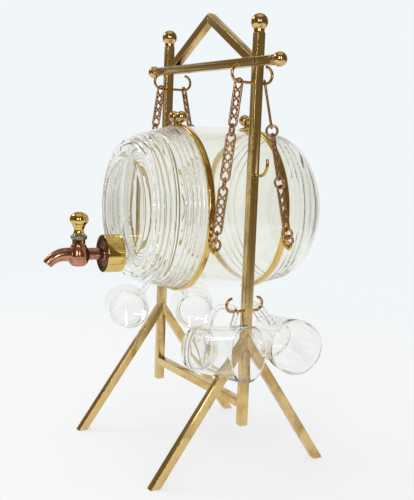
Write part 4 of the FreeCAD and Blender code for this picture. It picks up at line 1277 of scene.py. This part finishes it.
faded = add_node(floor_tree, "ShaderNodeMixShader", {"Fac": floor_fade, 1: lit, 2: nothing})
add_node(floor_tree, "ShaderNodeOutputMaterial", {"Surface": faded})
floor.data.materials.append(floor_paint)
print("floor", TABLE_REACH, "m")

# %% The tent that glass sees
BRIGHT, SHADED, GAP, DOORWAY = "#fbfcfa", "#d2d0c8", "#55504a", "#a8a196"
BRIGHT_WAY = math.radians(-140)
GAPS, FIRST_GAP, GAP_SHARE, GAP_EDGE = 4, math.radians(22.5), 0.94, 0.12
OPENING_WAY, BACK_WAY = (0.84, -0.54, 0.02), (-0.86, 0.51, 0.0)
world = bpy.data.worlds.new("light tent")
bpy.context.scene.world = world
world.use_nodes = True
sky = world.node_tree
sky.nodes.clear()
way = add_node(sky, "ShaderNodeTexCoord").outputs["Generated"]
parts = add_node(sky, "ShaderNodeSeparateXYZ", {"Vector": way}).outputs
around = calc(sky, "ARCTAN2", parts["Y"], parts["X"])
off_bright = calc(sky, "SUBTRACT", around, BRIGHT_WAY)
towards_bright = calc(sky, "COSINE", off_bright)
shade = add_node(
    sky, "ShaderNodeMapRange", {"Value": towards_bright, "From Min": -1.0, "From Max": 0.5}
)
walls = mixed(sky, shade, linear(SHADED), linear(BRIGHT))
off_gap = calc(sky, "SUBTRACT", around, FIRST_GAP)
gap_turns = calc(sky, "MULTIPLY", off_gap, GAPS)
gap_wave = calc(sky, "COSINE", gap_turns)
gap_mask = add_node(
    sky,
    "ShaderNodeMapRange",
    {"Value": gap_wave, "From Min": GAP_SHARE - GAP_EDGE, "From Max": GAP_SHARE},
    interpolation_type="SMOOTHSTEP",
)
low_mask = add_node(
    sky, "ShaderNodeMapRange", {"Value": parts["Z"], "From Min": 0.85, "From Max": 0.6}
)
in_gap = calc(sky, "MULTIPLY", gap_mask, low_mask)
tent = mixed(sky, in_gap, walls, linear(GAP))


def towards(direction, start, stop):
    """0 to 1 as a ray turns from the cosine start to the cosine stop of a direction."""
    share = add_node(sky, "ShaderNodeVectorMath", {0: way, 1: direction}, operation="DOT_PRODUCT")
    return add_node(
        sky,
        "ShaderNodeMapRange",
        {"Value": share, "From Min": start, "From Max": stop},
        interpolation_type="SMOOTHSTEP",
    )


bent = mixed(sky, towards(OPENING_WAY, 0.8, 0.95), tent, linear(DOORWAY))
print("tent gaps", GAPS)

# %% The room that metal sees
SWEEP, SIDES, BACK_WALL, ROOM, CEILING = "#fbf9f4", "#71644a", "#e4e6e6", "#2d241a", "#d8d2c4"
mirrored = linear(SWEEP)
for direction, start, stop, colour in (
    ((0, 0, 1), -0.35, -0.2, SIDES),
    ((0, 0, 1), 0.8, 0.95, CEILING),
    (BACK_WAY, 0.55, 0.9, BACK_WALL),
    (OPENING_WAY, 0.7, 0.88, ROOM),
):
    mirrored = mixed(sky, towards(direction, start, stop), mirrored, linear(colour))
# A sharp refraction counts as a glossy ray too, so the transmission ray is asked after it.
rays = add_node(sky, "ShaderNodeLightPath").outputs
shown = bent
for kind, view in (
    ("Is Glossy Ray", mirrored),
    ("Is Transmission Ray", bent),
    ("Is Camera Ray", linear(BACKGROUND)),
):
    shown = mixed(sky, rays[kind], shown, view)
glow = add_node(sky, "ShaderNodeBackground", {"Color": shown, "Strength": 1.0})
add_node(sky, "ShaderNodeOutputWorld", {"Surface": glow})
print("nodes in the world", len(sky.nodes))

# %% [markdown]
# Four soft boxes light the object, three from the front right and one from the front left and
# above. They are hidden from glass, where their images would be hard white bars.

# %% Lamps


def softbox(name, place, aim, wide, high, watts):
    """A rectangular area lamp that faces a point."""
    lamp = bpy.data.lights.new(name, "AREA")
    lamp.shape = "RECTANGLE"
    lamp.energy = watts
    lamp.size = wide
    lamp.size_y = high
    holder = in_scene(name, lamp)
    holder.location = place
    holder.rotation_euler = (Vector(aim) - Vector(place)).to_track_quat("-Z", "Y").to_euler()
    holder.visible_transmission = False


softbox("key_light", (1.25, -1.15, 0.75), (0, 0, 0.22), 0.16, 0.9, 5)
softbox("side_light", (1.65, -0.35, 0.7), (0, 0, 0.22), 0.12, 0.8, 3)
softbox("window_strip", (1.1, -0.7, 0.44), (0, 0, 0.22), 0.4, 0.04, 0.8)
softbox("fill_light", (-1.1, -0.8, 1.35), (0, 0, 0.2), 0.5, 0.5, 4)
print("lamps", len(bpy.data.lights))

# %% [markdown]
# The camera stands to the right of the front and a little above the barrel. Its place is given by
# an azimuth round the stand, an elevation, a roll and a distance, which is easier to reason about
# than three coordinates and three angles.

# %% Camera
AZIMUTH, ELEVATION, ROLL = 59.30, 7.513, 2.2025
DISTANCE, SIDEWAYS, UPWARDS = 0.8141, 0.00384, -0.01491
IMAGE_HEIGHT, FOCAL_PIXELS, SENSOR, AIM_HEIGHT = 500, 839.07, 36, 0.21
azimuth, elevation, roll = (math.radians(a) for a in (AZIMUTH, ELEVATION, ROLL))
back = Vector(
    (
        math.sin(azimuth) * math.cos(elevation),
        -math.cos(azimuth) * math.cos(elevation),
        math.sin(elevation),
    )
)
level = Vector((0, 0, 1)).cross(back).normalized()
upright = back.cross(level)
right = level * math.cos(roll) + upright * math.sin(roll)
up = upright * math.cos(roll) - level * math.sin(roll)
aim = stand_middle + Vector((0, 0, AIM_HEIGHT))
eye = aim + back * DISTANCE + right * SIDEWAYS + up * UPWARDS
lens = bpy.data.cameras.new("camera")
lens.sensor_width = SENSOR
lens.lens = FOCAL_PIXELS * lens.sensor_width / IMAGE_HEIGHT
camera = in_scene("camera", lens)
camera.matrix_world = Matrix(
    (
        (right.x, up.x, back.x, eye.x),
        (right.y, up.y, back.y, eye.y),
        (right.z, up.z, back.z, eye.z),
        (0, 0, 0, 1),
    )
)
bpy.context.scene.camera = camera
bpy.context.scene.view_settings.view_transform = "Standard"
print("lens", round(lens.lens, 2), "mm at", [round(c, 3) for c in eye])
